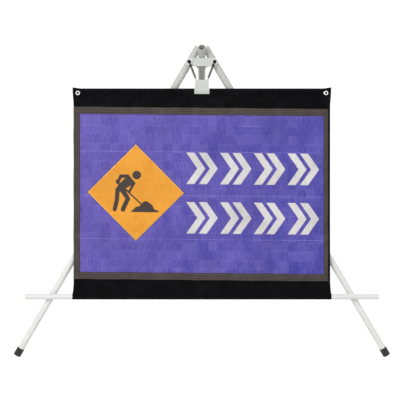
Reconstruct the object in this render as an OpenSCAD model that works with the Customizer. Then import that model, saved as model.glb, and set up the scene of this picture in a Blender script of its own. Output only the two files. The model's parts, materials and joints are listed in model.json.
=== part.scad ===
// Roll-up road sign on a folding tripod with telescopic legs.
// X runs along the sign, Y away from the reader and Z up. The origin lies on the
// ground, in the middle of the stand. Most pieces are drawn in the hub frame: its
// origin is midway between the leg bolts, on the front face of the hub plate, its
// Y is the depth behind that face, and its Z runs up the leaning plane of the
// front legs.

/* [Stance] */
// Angle of the front leg plane from the vertical
lean = 21; // [16:0.5:26]
// Angle of each front leg from the middle of its plane
splay = 30.5; // [26:0.5:34]
// Angle of the rear leg from the front leg plane
rear_open = 58.5; // [50:0.5:62]
// Front leg, from its bolt to the end of its foot
leg_len = 1192; // [1000:1:1400]

/* [Leg tubes] */
// Outside diameter of the upper tubes
upper_od = 25; // [22:0.5:30]
// Wall of the upper tubes
upper_wall = 1.2; // [0.8:0.1:1.3]
// Wall of the lower tubes
lower_wall = 1.2; // [0.8:0.1:2]
// Length of an upper tube below its bolt
upper_len = 600; // [500:1:700]
// Length of a front upper tube above its bolt
front_stub = 62; // [40:1:70]
// Length of the rear upper tube above its bolt
rear_stub = 92; // [70:1:110]
// Length of the lower tube inside the upper tube
tube_overlap = 130; // [80:1:200]

/* [Leg locks] */
// Length of a lock collar
collar_len = 34; // [24:1:50]
// Wall of a lock collar
collar_wall = 3; // [2:0.1:5]
// Diameter of the threaded boss on a collar
boss_od = 15; // [12:0.5:20]
// Height of the boss above the collar
boss_height = 8; // [5:0.5:14]
// Diameter of a lock knob over its lobes
knob_od = 34; // [26:1:44]
// Thickness of a lock knob
knob_height = 11; // [8:0.5:16]
// Diameter of the stud on a lock knob
stud_od = 8; // [6:0.5:10]
// Lobes on a lock knob
knob_lobes = 6; // [4:1:8]

/* [Feet] */
// Outside diameter of a rubber foot
foot_od = 26; // [24:0.5:34]
// Length of a rubber foot
foot_len = 28.5; // [20:0.5:45]
// Thickness of the floor of a rubber foot
foot_floor = 5; // [3:0.5:10]
// Depth of the flat worn on a foot by the ground
foot_flat = 1.5; // [0.5:0.1:3]

/* [Hub] */
// Thickness of the hub plate and of the rear bracket
plate_wall = 3; // [2:0.1:4]
// Height of the hub plate above the leg bolts
plate_above = 14; // [11:0.5:18]
// Height of the hub plate below the leg bolts
plate_below = 15; // [11:0.5:22]
// Half length of the straight edges of the hub plate
plate_straight = 33; // [24:0.5:38]
// Radius of the lobes of the hub plate round the bolts
lobe_r = 12.5; // [10:0.5:16]
// Drop of the rear leg bolt below the front leg bolts
rear_drop = 2; // [0:0.5:5]
// Radius of the ears of the rear bracket
ear_r = 11; // [9:0.5:14]
// Height of the web of the rear bracket above the leg bolts
web_above = 9; // [4:0.5:10]

/* [Bolts] */
// Shank diameter of the hinge bolts
bolt_od = 8; // [6:0.5:10]
// Diameter of the button heads
head_od = 14; // [12:0.5:18]
// Height of the button heads
head_height = 4.4; // [3:0.1:6]
// Width across the flats of the socket in a head
socket_af = 5; // [4:0.5:6]
// Outside diameter of the front washers
washer_od = 20.5; // [16:0.5:24]
// Thickness of a washer
washer_t = 1.5; // [1:0.1:2.5]
// Thickness of a nylon spacer behind the hub plate
spacer_t = 0.7; // [0.4:0.1:2]
// Width of a lock nut across its flats
nut_af = 13; // [11:0.5:17]
// Height of a lock nut
nut_height = 8; // [6:0.5:10]

/* [Springs] */
// Diameter of the spring wire
wire_od = 1.4; // [1:0.1:1.8]
// Outside diameter of the coils
coil_od = 8; // [7:0.5:11]
// Radius of the eye round a bolt, at the middle of the wire
eye_r = 5.3; // [5.2:0.1:7]
// Radius of the hook in the hanger clip, at the middle of the wire
hook_r = 3.6; // [3:0.1:4.5]

/* [Hanger clip] */
// Distance from the leg bolts down to the spring holes
hole_drop = 68; // [60:1:90]
// Distance between the spring holes
hole_gap = 38; // [30:1:44]
// Radius of a spring hole
hole_r = 2.4; // [2:0.1:3]
// Width of the flat tab
tab_w = 48; // [44:1:70]
// Height of the tab above the spring holes
tab_above = 4; // [3:0.5:8]
// Width of the jaws
jaw_w = 52; // [40:1:80]
// Thickness of the sheet that the clip is folded from
clip_sheet = 1.2; // [0.8:0.1:2]
// Length of the flared lips
lip_len = 4; // [2:0.5:8]

/* [Rails] */
// Outside diameter of the rails
rail_od = 19; // [16:0.5:22]
// Wall of the rails
rail_wall = 1.2; // [0.8:0.1:2]
// Length of the bottom rail
bottom_rail_len = 1230; // [1000:1:1400]
// Distance from the leg bolts down to the top rail
top_rail_drop = 104; // [100:1:140]

/* [Sign] */
// Width of the cloth and of the reflective panel
cloth_w = 900; // [880:1:1000]
// Height of the reflective panel
panel_h = 600; // [450:1:620]
// Height of a cloth band between the panel and the edge of the sleeve
band_h = 68; // [60:1:90]
// Thickness of the cloth, the panel and the binding
cloth_t = 0.8; // [0.5:0.1:1]
// Width of the binding tape
tape_w = 25; // [18:1:36]
// Distance from the middle of a rail to the seam of its sleeve
seam_drop = 20; // [16:0.5:26]
// Width of the hem behind the seam
hem_h = 12; // [6:0.5:16]
// Half diagonal of the warning diamond
diamond_r = 170; // [120:1:200]
// Distance from the tape at the left to the corner of the diamond
diamond_in = 25; // [10:0.5:60]
// Distance from the tape at the right to the last pair of chevrons
mark_in = 17; // [8:0.5:60]
// Distance from the diamond's right corner to the first pair, level
mark_clear = 5.5; // [0:0.5:40]
// Distance between neighbouring pairs of chevrons
mark_space = 7.5; // [3:0.5:20]
// Distance between the two rows of pairs
row_pitch = 172; // [120:1:200]
// Thickness of the films on the panel
film_t = 0.4; // [0.2:0.1:0.6]
// Depth by which the cloth sags back between the rails
cloth_sag = 2; // [0:0.1:3]
// Depth of the soft folds at the lower right
fold_depth = 1.8; // [0:0.1:3]
// Distance between the soft folds
fold_pitch = 260; // [180:10:400]

/* [Eyelets] */
// Radius of the hole of an eyelet
eyelet_r = 4; // [3:0.5:5]
// Outside radius of the flange of an eyelet
flange_r = 7.5; // [6:0.5:9]
// Thickness of the metal of an eyelet
eyelet_t = 0.7; // [0.4:0.1:1]
// Distance of an eyelet from the side of the cloth
eyelet_in = 18; // [14:0.5:20]
// Distance of an eyelet from the top of the cloth
eyelet_down = 16.4; // [14:0.5:20]
// Distance from the end of the top rail to the flange of an eyelet
rail_in = 18.5; // [12:0.5:60]

/* [Fits] */
// Radial gap between the telescopic tubes
slide_gap = 0.3; // [0.2:0.05:0.5]
// Radial gap of a hinge bolt in a moving tube
hinge_gap = 0.08; // [0.02:0.01:0.1]
// Radial gap of a fixed bolt, stud or barrel in its hole
bolt_gap = 0.1; // [0.05:0.05:0.2]
// Gap between pieces that move past each other
run_gap = 0.3; // [0.3:0.05:0.5]
// Gap between the layers of the cloth
layer_gap = 0.3; // [0.2:0.05:0.5]
// Gap between a film and what it lies on
film_gap = 0.45; // [0.3:0.05:0.6]
// Gap between the rear tube and the front tubes that it passes
pass_gap = 1.15; // [0.8:0.05:2]
// Gap between the rear tube and the edge of the hub plate that stops it
stop_gap = 1.03; // [0.8:0.01:2]
// Gap between the back of the rails and the feet that slide past them
rail_gap = 1; // [0.5:0.1:3]
// Play of a spring eye to each side
eye_play = 0.6; // [0.5:0.1:1]

/* [Hidden] */
// Overrun of every cut
cut = 1;
upper_r = upper_od / 2;
lower_od = upper_od - 2 * upper_wall - 2 * slide_gap;
lower_r = lower_od / 2;
rail_r = rail_od / 2;
bolt_r = bolt_od / 2;
stud_r = stud_od / 2;
foot_r = foot_od / 2;
wire_r = wire_od / 2;
coil_r = (coil_od - wire_od) / 2;
socket_depth_share = 0.6;
round_share = 0.35;
lobe_share = 0.2;
knob_neck_share = 0.55;
back_washer_share = 0.65;
lip_share = 0.68;
lip_turn = 25;

// Depth of the front leg axes behind the front face of the hub plate
leg_depth = plate_wall + spacer_t + run_gap + upper_r;
// Depth of the rear leg bolt, which lets the stub lean over the plate's top edge
rear_depth = plate_wall
    + ((plate_above + rear_drop) * sin(rear_open) + upper_r + stop_gap) / cos(rear_open);
// Half distance between the leg bolts, which lets the rear tube pass between the
// front tubes: the distance of two skew lines, solved for the place of the bolts
skew = norm([cos(splay) * sin(rear_open), sin(splay) * cos(rear_open), sin(splay) * sin(rear_open)]);
bolt_x = ((upper_od + pass_gap) * skew
    + (rear_depth - leg_depth) * sin(splay) * cos(rear_open)
    - rear_drop * sin(splay) * sin(rear_open)) / (cos(splay) * sin(rear_open));

// Share of a leg's length that counts downwards
front_fall = cos(splay) * cos(lean);
rear_fall = cos(rear_open - lean);
hub_z = leg_len * front_fall + foot_r * sqrt(1 - pow(front_fall, 2)) - foot_flat
    + leg_depth * sin(lean);
rear_bolt_z = hub_z - rear_depth * sin(lean) - rear_drop * cos(lean);
rear_len = (rear_bolt_z + foot_flat - foot_r * sin(rear_open - lean)) / rear_fall;
// Furthest points of the feet, before and behind the hub, put the origin midway
front_reach = leg_depth * cos(lean) - leg_len * cos(splay) * sin(lean)
    - foot_r * sqrt(1 - pow(cos(splay) * sin(lean), 2));
rear_reach = rear_depth * cos(lean) - rear_drop * sin(lean)
    + rear_len * sin(rear_open - lean) + foot_r * rear_fall;
hub_y = -(front_reach + rear_reach) / 2;

// Heights along a leg, measured from its bolt
lower_len = leg_len - foot_floor - upper_len + tube_overlap;
collar_r = upper_r + bolt_gap + collar_wall;
knob_z = -upper_len + collar_len / 2;
boss_end = collar_r + boss_height;
knob_base = boss_end + run_gap;

// Spring seats in the hub frame
eye_depth = -washer_t - eye_play - wire_r;
head_depth = -washer_t - 2 * eye_play - wire_od;
// The sign's plane: the rails clear the feet that slide past behind them
rail_depth = leg_depth - foot_r - rail_gap - rail_r;
hook_seat = hole_r - wire_r - run_gap;
// The coils lie in front of the eye, so that they clear the washer and the plate
bolt_point = [bolt_x, eye_depth - coil_r, 0];
hook_point = [hole_gap / 2, rail_depth, -hole_drop + hook_seat];

// Heights of the sign in the hub frame
sleeve_r = rail_r + run_gap + cloth_t / 2;
cloth_top = -top_rail_drop + sleeve_r + cloth_t / 2;
panel_top = cloth_top - band_h;
panel_bottom = panel_top - panel_h;
bottom_rail_z = panel_bottom - band_h + sleeve_r + cloth_t / 2;
seam_half = (cloth_t + layer_gap) / 2;
panel_lift = seam_half + cloth_t + layer_gap;
tape_lift = panel_lift + cloth_t + layer_gap;
diamond_lift = panel_lift + cloth_t / 2 + film_gap + film_t / 2;
symbol_lift = diamond_lift + film_t + film_gap;
flat_half = cloth_t + seam_half / 2;
eyelet_x = cloth_w / 2 - eyelet_in;
eyelet_z = cloth_top - eyelet_down;
barrel_r = eyelet_r + eyelet_t;
flat_start = eyelet_x - flange_r;
top_rail_len = 2 * (flat_start - rail_in);
sleeve_end = top_rail_len / 2 + run_gap;
inner_x = cloth_w / 2 - tape_w;
diamond_z_share = 0.4955;
diamond_x = diamond_in + diamond_r - inner_x;
diamond_z = panel_top - panel_h * diamond_z_share;
// Chevron pairs: four in each of two rows, between the diamond and the tape
mark_count = 4;
mark_start = diamond_x + diamond_r + mark_clear;
mark_size = (inner_x - mark_in - mark_start - (mark_count - 1) * mark_space) / mark_count;
mark_run_share = 0.35;
mark_run = mark_size * mark_run_share;
mark_stroke_share = 0.2545;
mark_stroke = mark_size * mark_stroke_share;
mark_x = [for (i = [0 : mark_count - 1]) mark_start + i * (mark_size + mark_space)];
mark_z = [diamond_z + row_pitch / 2, diamond_z - row_pitch / 2];

$fn = 48;

// Frames

// Puts its children into the hub frame
module in_hub() {
    translate([0, hub_y, hub_z]) rotate([-lean, 0, 0]) children();
}

// Frame of a front leg: the leg runs down its Z axis from the bolt at its origin
module front_leg(side) {
    in_hub() translate([side * bolt_x, leg_depth, 0]) rotate([0, -side * splay, 0]) children();
}

// Frame of the rear leg
module rear_leg() {
    in_hub() translate([0, rear_depth, -rear_drop]) rotate([rear_open, 0, 0]) children();
}

// Puts a cylinder's axis along Y, with its base at the given depth
module along_y(depth) {
    translate([0, depth, 0]) rotate([-90, 0, 0]) children();
}

// Puts a cylinder's axis along X
module along_x(start) {
    translate([start, 0, 0]) rotate([0, 90, 0]) children();
}

// Extrudes an outline in Y and Z along X, centred
module outline_x(width) {
    rotate([90, 0, 90]) linear_extrude(width, center = true) children();
}

// Takes away what reaches below the ground
module above_ground() {
    difference() {
        children();
        translate([-leg_len, -leg_len, -2 * foot_len]) cube([2 * leg_len, 2 * leg_len, 2 * foot_len]);
    }
}

// Legs

module tube(length, outer_r, wall) {
    difference() {
        cylinder(length, outer_r, outer_r);
        translate([0, 0, -cut]) cylinder(length + 2 * cut, outer_r - wall, outer_r - wall);
    }
}

// Upper tube with its stub above the bolt, the bolt hole and the hole for the stud
module upper_tube(stub, turn) {
    difference() {
        translate([0, 0, -upper_len]) tube(upper_len + stub, upper_r, upper_wall);
        rotate([0, 0, turn]) along_y(-upper_r - cut)
            cylinder(upper_od + 2 * cut, bolt_r + hinge_gap, bolt_r + hinge_gap);
        translate([0, 0, knob_z]) along_y(0)
            cylinder(upper_r + cut, stud_r + bolt_gap, stud_r + bolt_gap);
    }
}

module collar() {
    difference() {
        union() {
            translate([0, 0, -upper_len]) cylinder(collar_len, collar_r, collar_r);
            translate([0, 0, knob_z]) along_y(0) cylinder(boss_end, boss_od / 2, boss_od / 2);
        }
        translate([0, 0, -upper_len - cut])
            cylinder(collar_len + 2 * cut, upper_r + bolt_gap, upper_r + bolt_gap);
        translate([0, 0, knob_z]) along_y(0)
            cylinder(boss_end + cut, stud_r + bolt_gap, stud_r + bolt_gap);
    }
}

module knob() {
    lobe_ring = knob_od / 2 - knob_od * lobe_share / 2;
    neck = knob_height * round_share;
    translate([0, 0, knob_z]) {
        along_y(knob_base + neck) linear_extrude(knob_height - neck) union() {
            circle(lobe_ring);
            for (i = [0 : knob_lobes - 1])
                rotate(i * 360 / knob_lobes) translate([lobe_ring, 0]) circle(knob_od * lobe_share / 2);
        }
        along_y(knob_base) cylinder(neck, knob_od * knob_neck_share / 2, knob_od * knob_neck_share / 2);
        along_y(lower_r + run_gap) cylinder(knob_base - lower_r - run_gap, stud_r, stud_r);
    }
}

module lower_tube(length) {
    translate([0, 0, -length + foot_floor]) tube(lower_len, lower_r, lower_wall);
}

// Slip-on rubber foot with a chamfered rim and a ring round its mouth
module foot(length) {
    rim = foot_r - lower_r;
    translate([0, 0, -length]) rotate_extrude() polygon([
        [0, 0], [foot_r - rim / 4, 0], [foot_r, rim / 4], [foot_r, foot_len - rim / 2],
        [foot_r - rim / 2, foot_len], [lower_r, foot_len], [lower_r, foot_floor], [0, foot_floor]
    ]);
}

// Hub

module hub_plate_shape() {
    difference() {
        along_y(0) linear_extrude(plate_wall) hull() {
            translate([-bolt_x, 0]) circle(lobe_r, $fn = 32);
            translate([bolt_x, 0]) circle(lobe_r, $fn = 32);
            translate([-plate_straight, -plate_above])
                square([2 * plate_straight, plate_above + plate_below]);
        }
        for (side = [-1, 1]) translate([side * bolt_x, 0, 0]) along_y(-cut)
            cylinder(plate_wall + 2 * cut, bolt_r + bolt_gap, bolt_r + bolt_gap);
    }
}

// Bent U bracket: a web on the back of the hub plate and two ears for the rear bolt
module rear_bracket_shape() {
    inner = upper_r + hinge_gap + run_gap;
    outer = inner + plate_wall;
    translate([-outer, plate_wall, -plate_below]) cube([2 * outer, plate_wall, plate_below + web_above]);
    for (side = [-1, 1]) difference() {
        translate([side * (inner + outer) / 2, 0, 0]) outline_x(plate_wall) hull() {
            translate([plate_wall * 2, -plate_below]) square([plate_wall, plate_below + web_above]);
            translate([rear_depth, -rear_drop]) circle(ear_r, $fn = 32);
        }
        translate([0, rear_depth, -rear_drop]) along_x(-outer - cut)
            cylinder(2 * outer + 2 * cut, bolt_r + bolt_gap, bolt_r + bolt_gap);
    }
}

// Button head with a hexagon socket, and its shank towards +Z from the head's seat
module button_bolt(length) {
    edge = head_height * round_share;
    difference() {
        rotate_extrude() polygon([
            [0, -head_height], [head_od * round_share, -head_height],
            [head_od / 2 - edge / 2, -head_height + edge / 2], [head_od / 2, -head_height + 2 * edge],
            [head_od / 2, 0], [bolt_r, 0], [bolt_r, length], [0, length]
        ]);
        translate([0, 0, -head_height - cut]) cylinder(head_height * socket_depth_share + cut,
            socket_af / sqrt(3), socket_af / sqrt(3), $fn = 6);
    }
}

module washer(outer_r, thick) {
    difference() {
        cylinder(thick, outer_r, outer_r);
        translate([0, 0, -cut]) cylinder(thick + 2 * cut, bolt_r + bolt_gap, bolt_r + bolt_gap);
    }
}

// Hexagon lock nut with a round collar at its free end
module lock_nut() {
    difference() {
        union() {
            cylinder(nut_height * (1 - round_share), nut_af / sqrt(3), nut_af / sqrt(3), $fn = 6);
            cylinder(nut_height, nut_af / 2, nut_af / 2);
        }
        translate([0, 0, -cut]) cylinder(nut_height + 2 * cut, bolt_r + bolt_gap, bolt_r + bolt_gap);
    }
}

// One copy for each front leg bolt
module at_leg_bolts() {
    in_hub() for (side = [-1, 1]) translate([side * bolt_x, 0, 0]) children();
}

// Rear bolt: the bolt's seat on the left ear, the washers and the nut's seat
module at_rear_bolt(start) {
    in_hub() translate([0, rear_depth, -rear_drop]) along_x(start) children();
}

tube_back = leg_depth + upper_r + run_gap;
ear_outer = upper_r + hinge_gap + run_gap + plate_wall;

// Springs

function unit(v) = v / norm(v);

// Sizes of a spring along its own axis, from the bolt to the hole
eye_start = eye_r - wire_r - bolt_r - run_gap;
coil_start = head_od / 2 + run_gap + wire_od;
spring_way = unit(hook_point - bolt_point);
coil_end = norm(hook_point - bolt_point) - 2 * hook_r - 2 * wire_od;
hook_front = rail_depth - clip_sheet - run_gap - wire_r;
hook_back = rail_depth + clip_sheet + run_gap + wire_od;
function on_spring(reach) = bolt_point + reach * spring_way;
behind_coil = [0, coil_r, 0];

// Lays its children's Z axis along the line from one point to another
module towards(a, b) {
    way = b - a;
    translate(a) rotate([0, acos(way[2] / norm(way)), atan2(way[1], way[0])]) children();
}

module rod(a, b) {
    towards(a, b) cylinder(norm(b - a), wire_r, wire_r);
}

// The right-hand spring with its closed coils as one sleeve: an eye round the bolt,
// a straight end behind the coils, one in front of them, and a pin through the clip
module spring_shape() {
    eye_centre = on_spring(eye_start);
    translate([eye_centre[0], 0, eye_centre[2]]) along_y(eye_depth - wire_r) difference() {
        cylinder(wire_od, eye_r + wire_r, eye_r + wire_r);
        translate([0, 0, -cut]) cylinder(wire_od + 2 * cut, eye_r - wire_r, eye_r - wire_r);
    }
    rod(on_spring(eye_start + eye_r) + behind_coil, on_spring(coil_start + wire_od) + behind_coil);
    towards(on_spring(coil_start), on_spring(coil_end))
        tube(coil_end - coil_start, coil_r + wire_r, wire_od);
    rod(on_spring(coil_end - wire_od) - behind_coil, [hook_point[0], hook_front, hook_point[2]]);
    translate([hook_point[0], 0, hook_point[2]]) along_y(hook_front - wire_r)
        cylinder(hook_back - hook_front + wire_r, wire_r, wire_r);
}

// Cloth

// Depth of the cloth at a place in the hub frame: a shallow sag between the seams,
// and slanting folds that grow towards the lower right corner
sag_top = -top_rail_drop - seam_drop;
sag_bottom = bottom_rail_z + seam_drop;
function fall_share(z) = min(1, max(0, (sag_top - z) / (sag_top - sag_bottom)));
function cloth_sway(x, z) = sin(180 * fall_share(z)) * (cloth_sag
    + fold_depth * pow(fall_share(z), 2) * pow(max(0, 0.5 + x / cloth_w), 2)
        * sin(360 * (x + (z - sag_bottom) / 2) / fold_pitch));

// Columns shared by every layer: the tape's edges and even steps between them
cloth_steps = 18;
function even(a, b, n) = [for (i = [0 : n]) a + (b - a) * i / n];
cloth_columns = concat([-cloth_w / 2], even(-inner_x, inner_x, cloth_steps), [cloth_w / 2]);
panel_steps = 12;
panel_rows = concat([panel_top],
    even(panel_top - tape_w, panel_bottom + tape_w, panel_steps), [panel_bottom]);

// Faces of a closed sheet from a front and a back grid of points
function sheet_faces(columns, rows) = let (n = columns * rows) concat(
    [for (r = [0 : rows - 2]) for (c = [0 : columns - 2]) for (part = [0 : 3])
        let (a = r * columns + c, b = a + 1, d = a + columns, e = d + 1)
            part == 0 ? [a, b, e] : part == 1 ? [a, e, d]
                : part == 2 ? [n + a, n + e, n + b] : [n + a, n + d, n + e]],
    [for (c = [0 : columns - 2]) for (part = [0 : 3])
        let (a = c, b = c + 1, d = (rows - 1) * columns + c, e = d + 1)
            part == 0 ? [b, a, n + a] : part == 1 ? [b, n + a, n + b]
                : part == 2 ? [d, e, n + e] : [d, n + e, n + d]],
    [for (r = [0 : rows - 2]) for (part = [0 : 3])
        let (a = r * columns, d = a + columns, b = a + columns - 1, e = b + columns)
            part == 0 ? [a, d, n + d] : part == 1 ? [a, n + d, n + a]
                : part == 2 ? [e, b, n + b] : [e, n + b, n + e]]
);

// A layer of the sign: it follows the cloth, lifted towards the reader
module layer(columns, rows, lift, thick) {
    points = [for (back = [0, 1]) for (z = rows) for (x = columns)
        [x, rail_depth - lift + cloth_sway(x, z) + (back - 0.5) * thick, z]];
    polyhedron(points, sheet_faces(len(columns), len(rows)));
}

// Path of a sleeve round its rail, as [depth, height] from the middle of the rail:
// up behind the seam, round the rail and down in front
seam_angle = acos(sleeve_r / seam_drop);
arc_steps = 9;
function sleeve_arc(flip) = [for (q = even(seam_angle, 360 - seam_angle, arc_steps))
    [flip * sleeve_r * sin(q), -flip * sleeve_r * cos(q)]];
top_path = concat(
    [[seam_half, -seam_drop - hem_h], [seam_half, -seam_drop]], sleeve_arc(1), [[-seam_half, -seam_drop]],
    [for (z = [panel_top, panel_top - tape_w]) [-seam_half, z + top_rail_drop]]
);
bottom_path = concat(
    [for (z = [panel_bottom + tape_w, panel_bottom]) [-seam_half, z - bottom_rail_z]],
    [[-seam_half, seam_drop]], sleeve_arc(-1), [[seam_half, seam_drop], [seam_half, seam_drop + hem_h]]
);

// Outward direction of a path at one of its points
function path_side(path, i) = let (
    step = unit(path[min(i + 1, len(path) - 1)] - path[max(i - 1, 0)])) [step[1], -step[0]];

// Roundness of the sleeve at a column: one round the rail, none past its end
function roundness(x, open) = open ? 1
    : min(1, max(0, (flat_start - abs(x)) / (flat_start - sleeve_end)));

// Depth of a layer of the sleeve, pressed flat where there is no rail inside
function pressed(depth, full) = sign(depth) * max(min(abs(depth), seam_half), abs(depth) * full,
    (1 - full) * min(abs(depth), flat_half));

module band(path, rail_z, columns, open) {
    points = [for (side = [0.5, -0.5]) for (i = [0 : len(path) - 1]) for (x = columns)
        let (out = path_side(path, i) * side * cloth_t, z = path[i][1] + rail_z,
            depth = pressed(path[i][0], roundness(x, open)) + cloth_sway(x, z))
                [x, rail_depth + depth + out[0], z + out[1]]];
    polyhedron(points, sheet_faces(len(columns), len(path)));
}

module at_eyelet(side) {
    translate([side * eyelet_x, rail_depth, eyelet_z]) children();
}

// Two-part eyelet: a flange on each face of the cloth and a barrel through it
module eyelet() {
    seat = flat_half + cloth_t / 2 + bolt_gap;
    rim = flange_r - eyelet_t;
    along_y(0) rotate_extrude() polygon([
        [eyelet_r, -seat - eyelet_t], [rim, -seat - eyelet_t], [flange_r, -seat - eyelet_t / 2],
        [flange_r, -seat], [barrel_r, -seat], [barrel_r, seat], [flange_r, seat],
        [flange_r, seat + eyelet_t / 2], [rim, seat + eyelet_t], [eyelet_r, seat + eyelet_t]
    ]);
}

// Outline of the folded clip in depth and height: a tab folded double, and two
// jaws bent to a hexagon round the sleeve, with flared lips
module clip_jaws() {
    inner = (sleeve_r + cloth_t / 2 + run_gap) / cos(30);
    outer = inner + clip_sheet / cos(30);
    lip_z = -inner * lip_share;
    translate([rail_depth, -top_rail_drop]) {
        difference() {
            circle(outer, $fn = 6);
            circle(inner, $fn = 6);
            translate([-outer, lip_z - outer]) square([2 * outer, outer]);
        }
        for (side = [-1, 1]) scale([side, 1]) translate([inner + lip_z * tan(30), lip_z]) rotate(-lip_turn)
            square([lip_len + clip_sheet, clip_sheet]);
    }
}

module clip_shape() {
    top = -hole_drop + tab_above;
    jaw_top = -top_rail_drop + sleeve_r + cloth_t / 2 + run_gap;
    difference() {
        union() {
            outline_x(jaw_w) clip_jaws();
            translate([-tab_w / 2, rail_depth - clip_sheet, jaw_top])
                cube([tab_w, 2 * clip_sheet, top - jaw_top]);
        }
        for (side = [-1, 1]) translate([side * hole_gap / 2, rail_depth, -hole_drop])
            along_y(-clip_sheet - cut) cylinder(2 * clip_sheet + 2 * cut, hole_r, hole_r);
    }
}

// Figure of a worker with a shovel at a heap, on a square of unit half diagonal:
// one outline from the shoulders round shovel and legs, with a hole inside each
// arm. Places are shares of the half diagonal.
head_share = [0.020, 0.359];
head_r_share = 0.088;
body_shares = [
    [-0.330, 0.369], [-0.153, 0.369], [-0.004, 0.190], [-0.118, -0.003], [0.150, -0.250],
    [0.132, -0.270], [-0.206, 0.036], [-0.113, -0.127], [-0.224, -0.369], [-0.250, -0.392],
    [-0.284, -0.391], [-0.307, -0.365], [-0.306, -0.331], [-0.213, -0.130], [-0.317, 0.022],
    [-0.333, 0.012], [-0.346, -0.162], [-0.392, -0.357], [-0.411, -0.383], [-0.443, -0.388],
    [-0.469, -0.369], [-0.474, -0.337], [-0.430, -0.150], [-0.418, 0.052], [-0.407, 0.089],
    [-0.352, 0.155], [-0.377, 0.170], [-0.407, 0.190], [-0.399, 0.224], [-0.418, 0.240],
    [-0.411, 0.258], [-0.373, 0.262]
];
hole_shares = [
    [[-0.209, 0.302], [-0.285, 0.298], [-0.303, 0.276], [-0.340, 0.176]],
    [[-0.086, 0.149], [-0.209, 0.082], [-0.150, 0.040]]
];
heap_shares = [
    [-0.105, -0.399], [0.007, -0.291], [0.059, -0.283], [0.115, -0.238], [0.148, -0.194],
    [0.197, -0.171], [0.245, -0.186], [0.335, -0.253], [0.383, -0.346], [0.431, -0.354],
    [0.465, -0.373], [0.472, -0.399]
];

module symbol_shape() {
    translate(diamond_r * head_share) circle(diamond_r * head_r_share);
    difference() {
        union() {
            polygon(diamond_r * body_shares);
            polygon(diamond_r * heap_shares);
        }
        for (shape = hole_shares) polygon(diamond_r * shape);
    }
}

// A chevron pointing right, whose corners lie on the cloth
module chevron(left, z) {
    points = [for (back = [0, 1]) for (r = [1, 0, -1]) for (c = [0, mark_stroke])
        let (x = left + c + (1 - abs(r)) * mark_run, high = z + r * mark_size / 2)
            [x, rail_depth - diamond_lift + cloth_sway(x, high) + (back - 0.5) * film_t, high]];
    polyhedron(points, sheet_faces(2, 3));
}

// Pieces, one module for each node

module hub_plate() { color("whitesmoke") in_hub() hub_plate_shape(); }
module rear_bracket() { color("gainsboro") in_hub() rear_bracket_shape(); }
module leg_bolts() {
    color("black") at_leg_bolts() along_y(head_depth)
        button_bolt(tube_back + washer_t + nut_height + bolt_r / 2 - head_depth);
}
module front_washers() { color("silver") at_leg_bolts() along_y(-washer_t) washer(washer_od / 2, washer_t); }
module leg_spacers() { color("ivory") at_leg_bolts() along_y(plate_wall) washer(washer_od / 2, spacer_t); }
module back_washers() {
    color("silver") at_leg_bolts() along_y(tube_back) washer(nut_af * back_washer_share, washer_t);
}
module leg_nuts() { color("gray") at_leg_bolts() along_y(tube_back + washer_t) lock_nut(); }
module rear_bolt() {
    color("black") at_rear_bolt(-ear_outer) button_bolt(2 * ear_outer + nut_height + bolt_r / 2);
}
module rear_nut() { color("gray") at_rear_bolt(ear_outer) lock_nut(); }

module left_upper_tube() { color("white") front_leg(-1) upper_tube(front_stub, 0); }
module left_collar() { color("gainsboro") front_leg(-1) collar(); }
module left_knob() { color("dimgray") front_leg(-1) knob(); }
module left_lower_tube() { color("white") front_leg(-1) lower_tube(leg_len); }
module left_foot() { color("black") above_ground() front_leg(-1) foot(leg_len); }

module right_upper_tube() { color("white") front_leg(1) upper_tube(front_stub, 0); }
module right_collar() { color("gainsboro") front_leg(1) collar(); }
module right_knob() { color("dimgray") front_leg(1) knob(); }
module right_lower_tube() { color("white") front_leg(1) lower_tube(leg_len); }
module right_foot() { color("black") above_ground() front_leg(1) foot(leg_len); }

module rear_upper_tube() { color("white") rear_leg() upper_tube(rear_stub, 90); }
module rear_collar() { color("gainsboro") rear_leg() collar(); }
module rear_knob() { color("dimgray") rear_leg() knob(); }
module rear_lower_tube() { color("white") rear_leg() lower_tube(rear_len); }
module rear_foot() { color("black") above_ground() rear_leg() foot(rear_len); }

module left_spring() { color("dimgray") in_hub() mirror([1, 0, 0]) spring_shape(); }
module right_spring() { color("dimgray") in_hub() spring_shape(); }
module hanger_clip() { color("whitesmoke") in_hub() clip_shape(); }
module top_rail() {
    color("white") in_hub() translate([0, rail_depth, -top_rail_drop]) along_x(-top_rail_len / 2)
        tube(top_rail_len, rail_r, rail_wall);
}
module bottom_rail() {
    color("white") in_hub() translate([0, rail_depth, bottom_rail_z]) along_x(-bottom_rail_len / 2)
        tube(bottom_rail_len, rail_r, rail_wall);
}

module top_band() {
    columns = concat([-cloth_w / 2, -flat_start], even(-sleeve_end, sleeve_end, cloth_steps - 2),
        [flat_start, cloth_w / 2]);
    color([0.09, 0.09, 0.09]) in_hub() difference() {
        band(top_path, -top_rail_drop, columns, false);
        for (side = [-1, 1]) at_eyelet(side) along_y(-sleeve_r)
            cylinder(2 * sleeve_r, barrel_r + bolt_gap, barrel_r + bolt_gap);
    }
}
module bottom_band() {
    color([0.09, 0.09, 0.09]) in_hub() band(bottom_path, bottom_rail_z, cloth_columns, true);
}
module reflective_panel() {
    color([0.34, 0.3, 0.68]) in_hub() layer(cloth_columns, panel_rows, panel_lift, cloth_t);
}
module top_binding() {
    color([0.37, 0.32, 0.3]) in_hub()
        layer(cloth_columns, [panel_top, panel_top - tape_w], tape_lift, cloth_t);
}
module bottom_binding() {
    color([0.37, 0.32, 0.3]) in_hub()
        layer(cloth_columns, [panel_bottom + tape_w, panel_bottom], tape_lift, cloth_t);
}
module left_binding() {
    rows = even(panel_top - tape_w, panel_bottom + tape_w, panel_steps);
    color([0.37, 0.32, 0.3]) in_hub() layer([-cloth_w / 2, -inner_x], rows, tape_lift, cloth_t);
}
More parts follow.
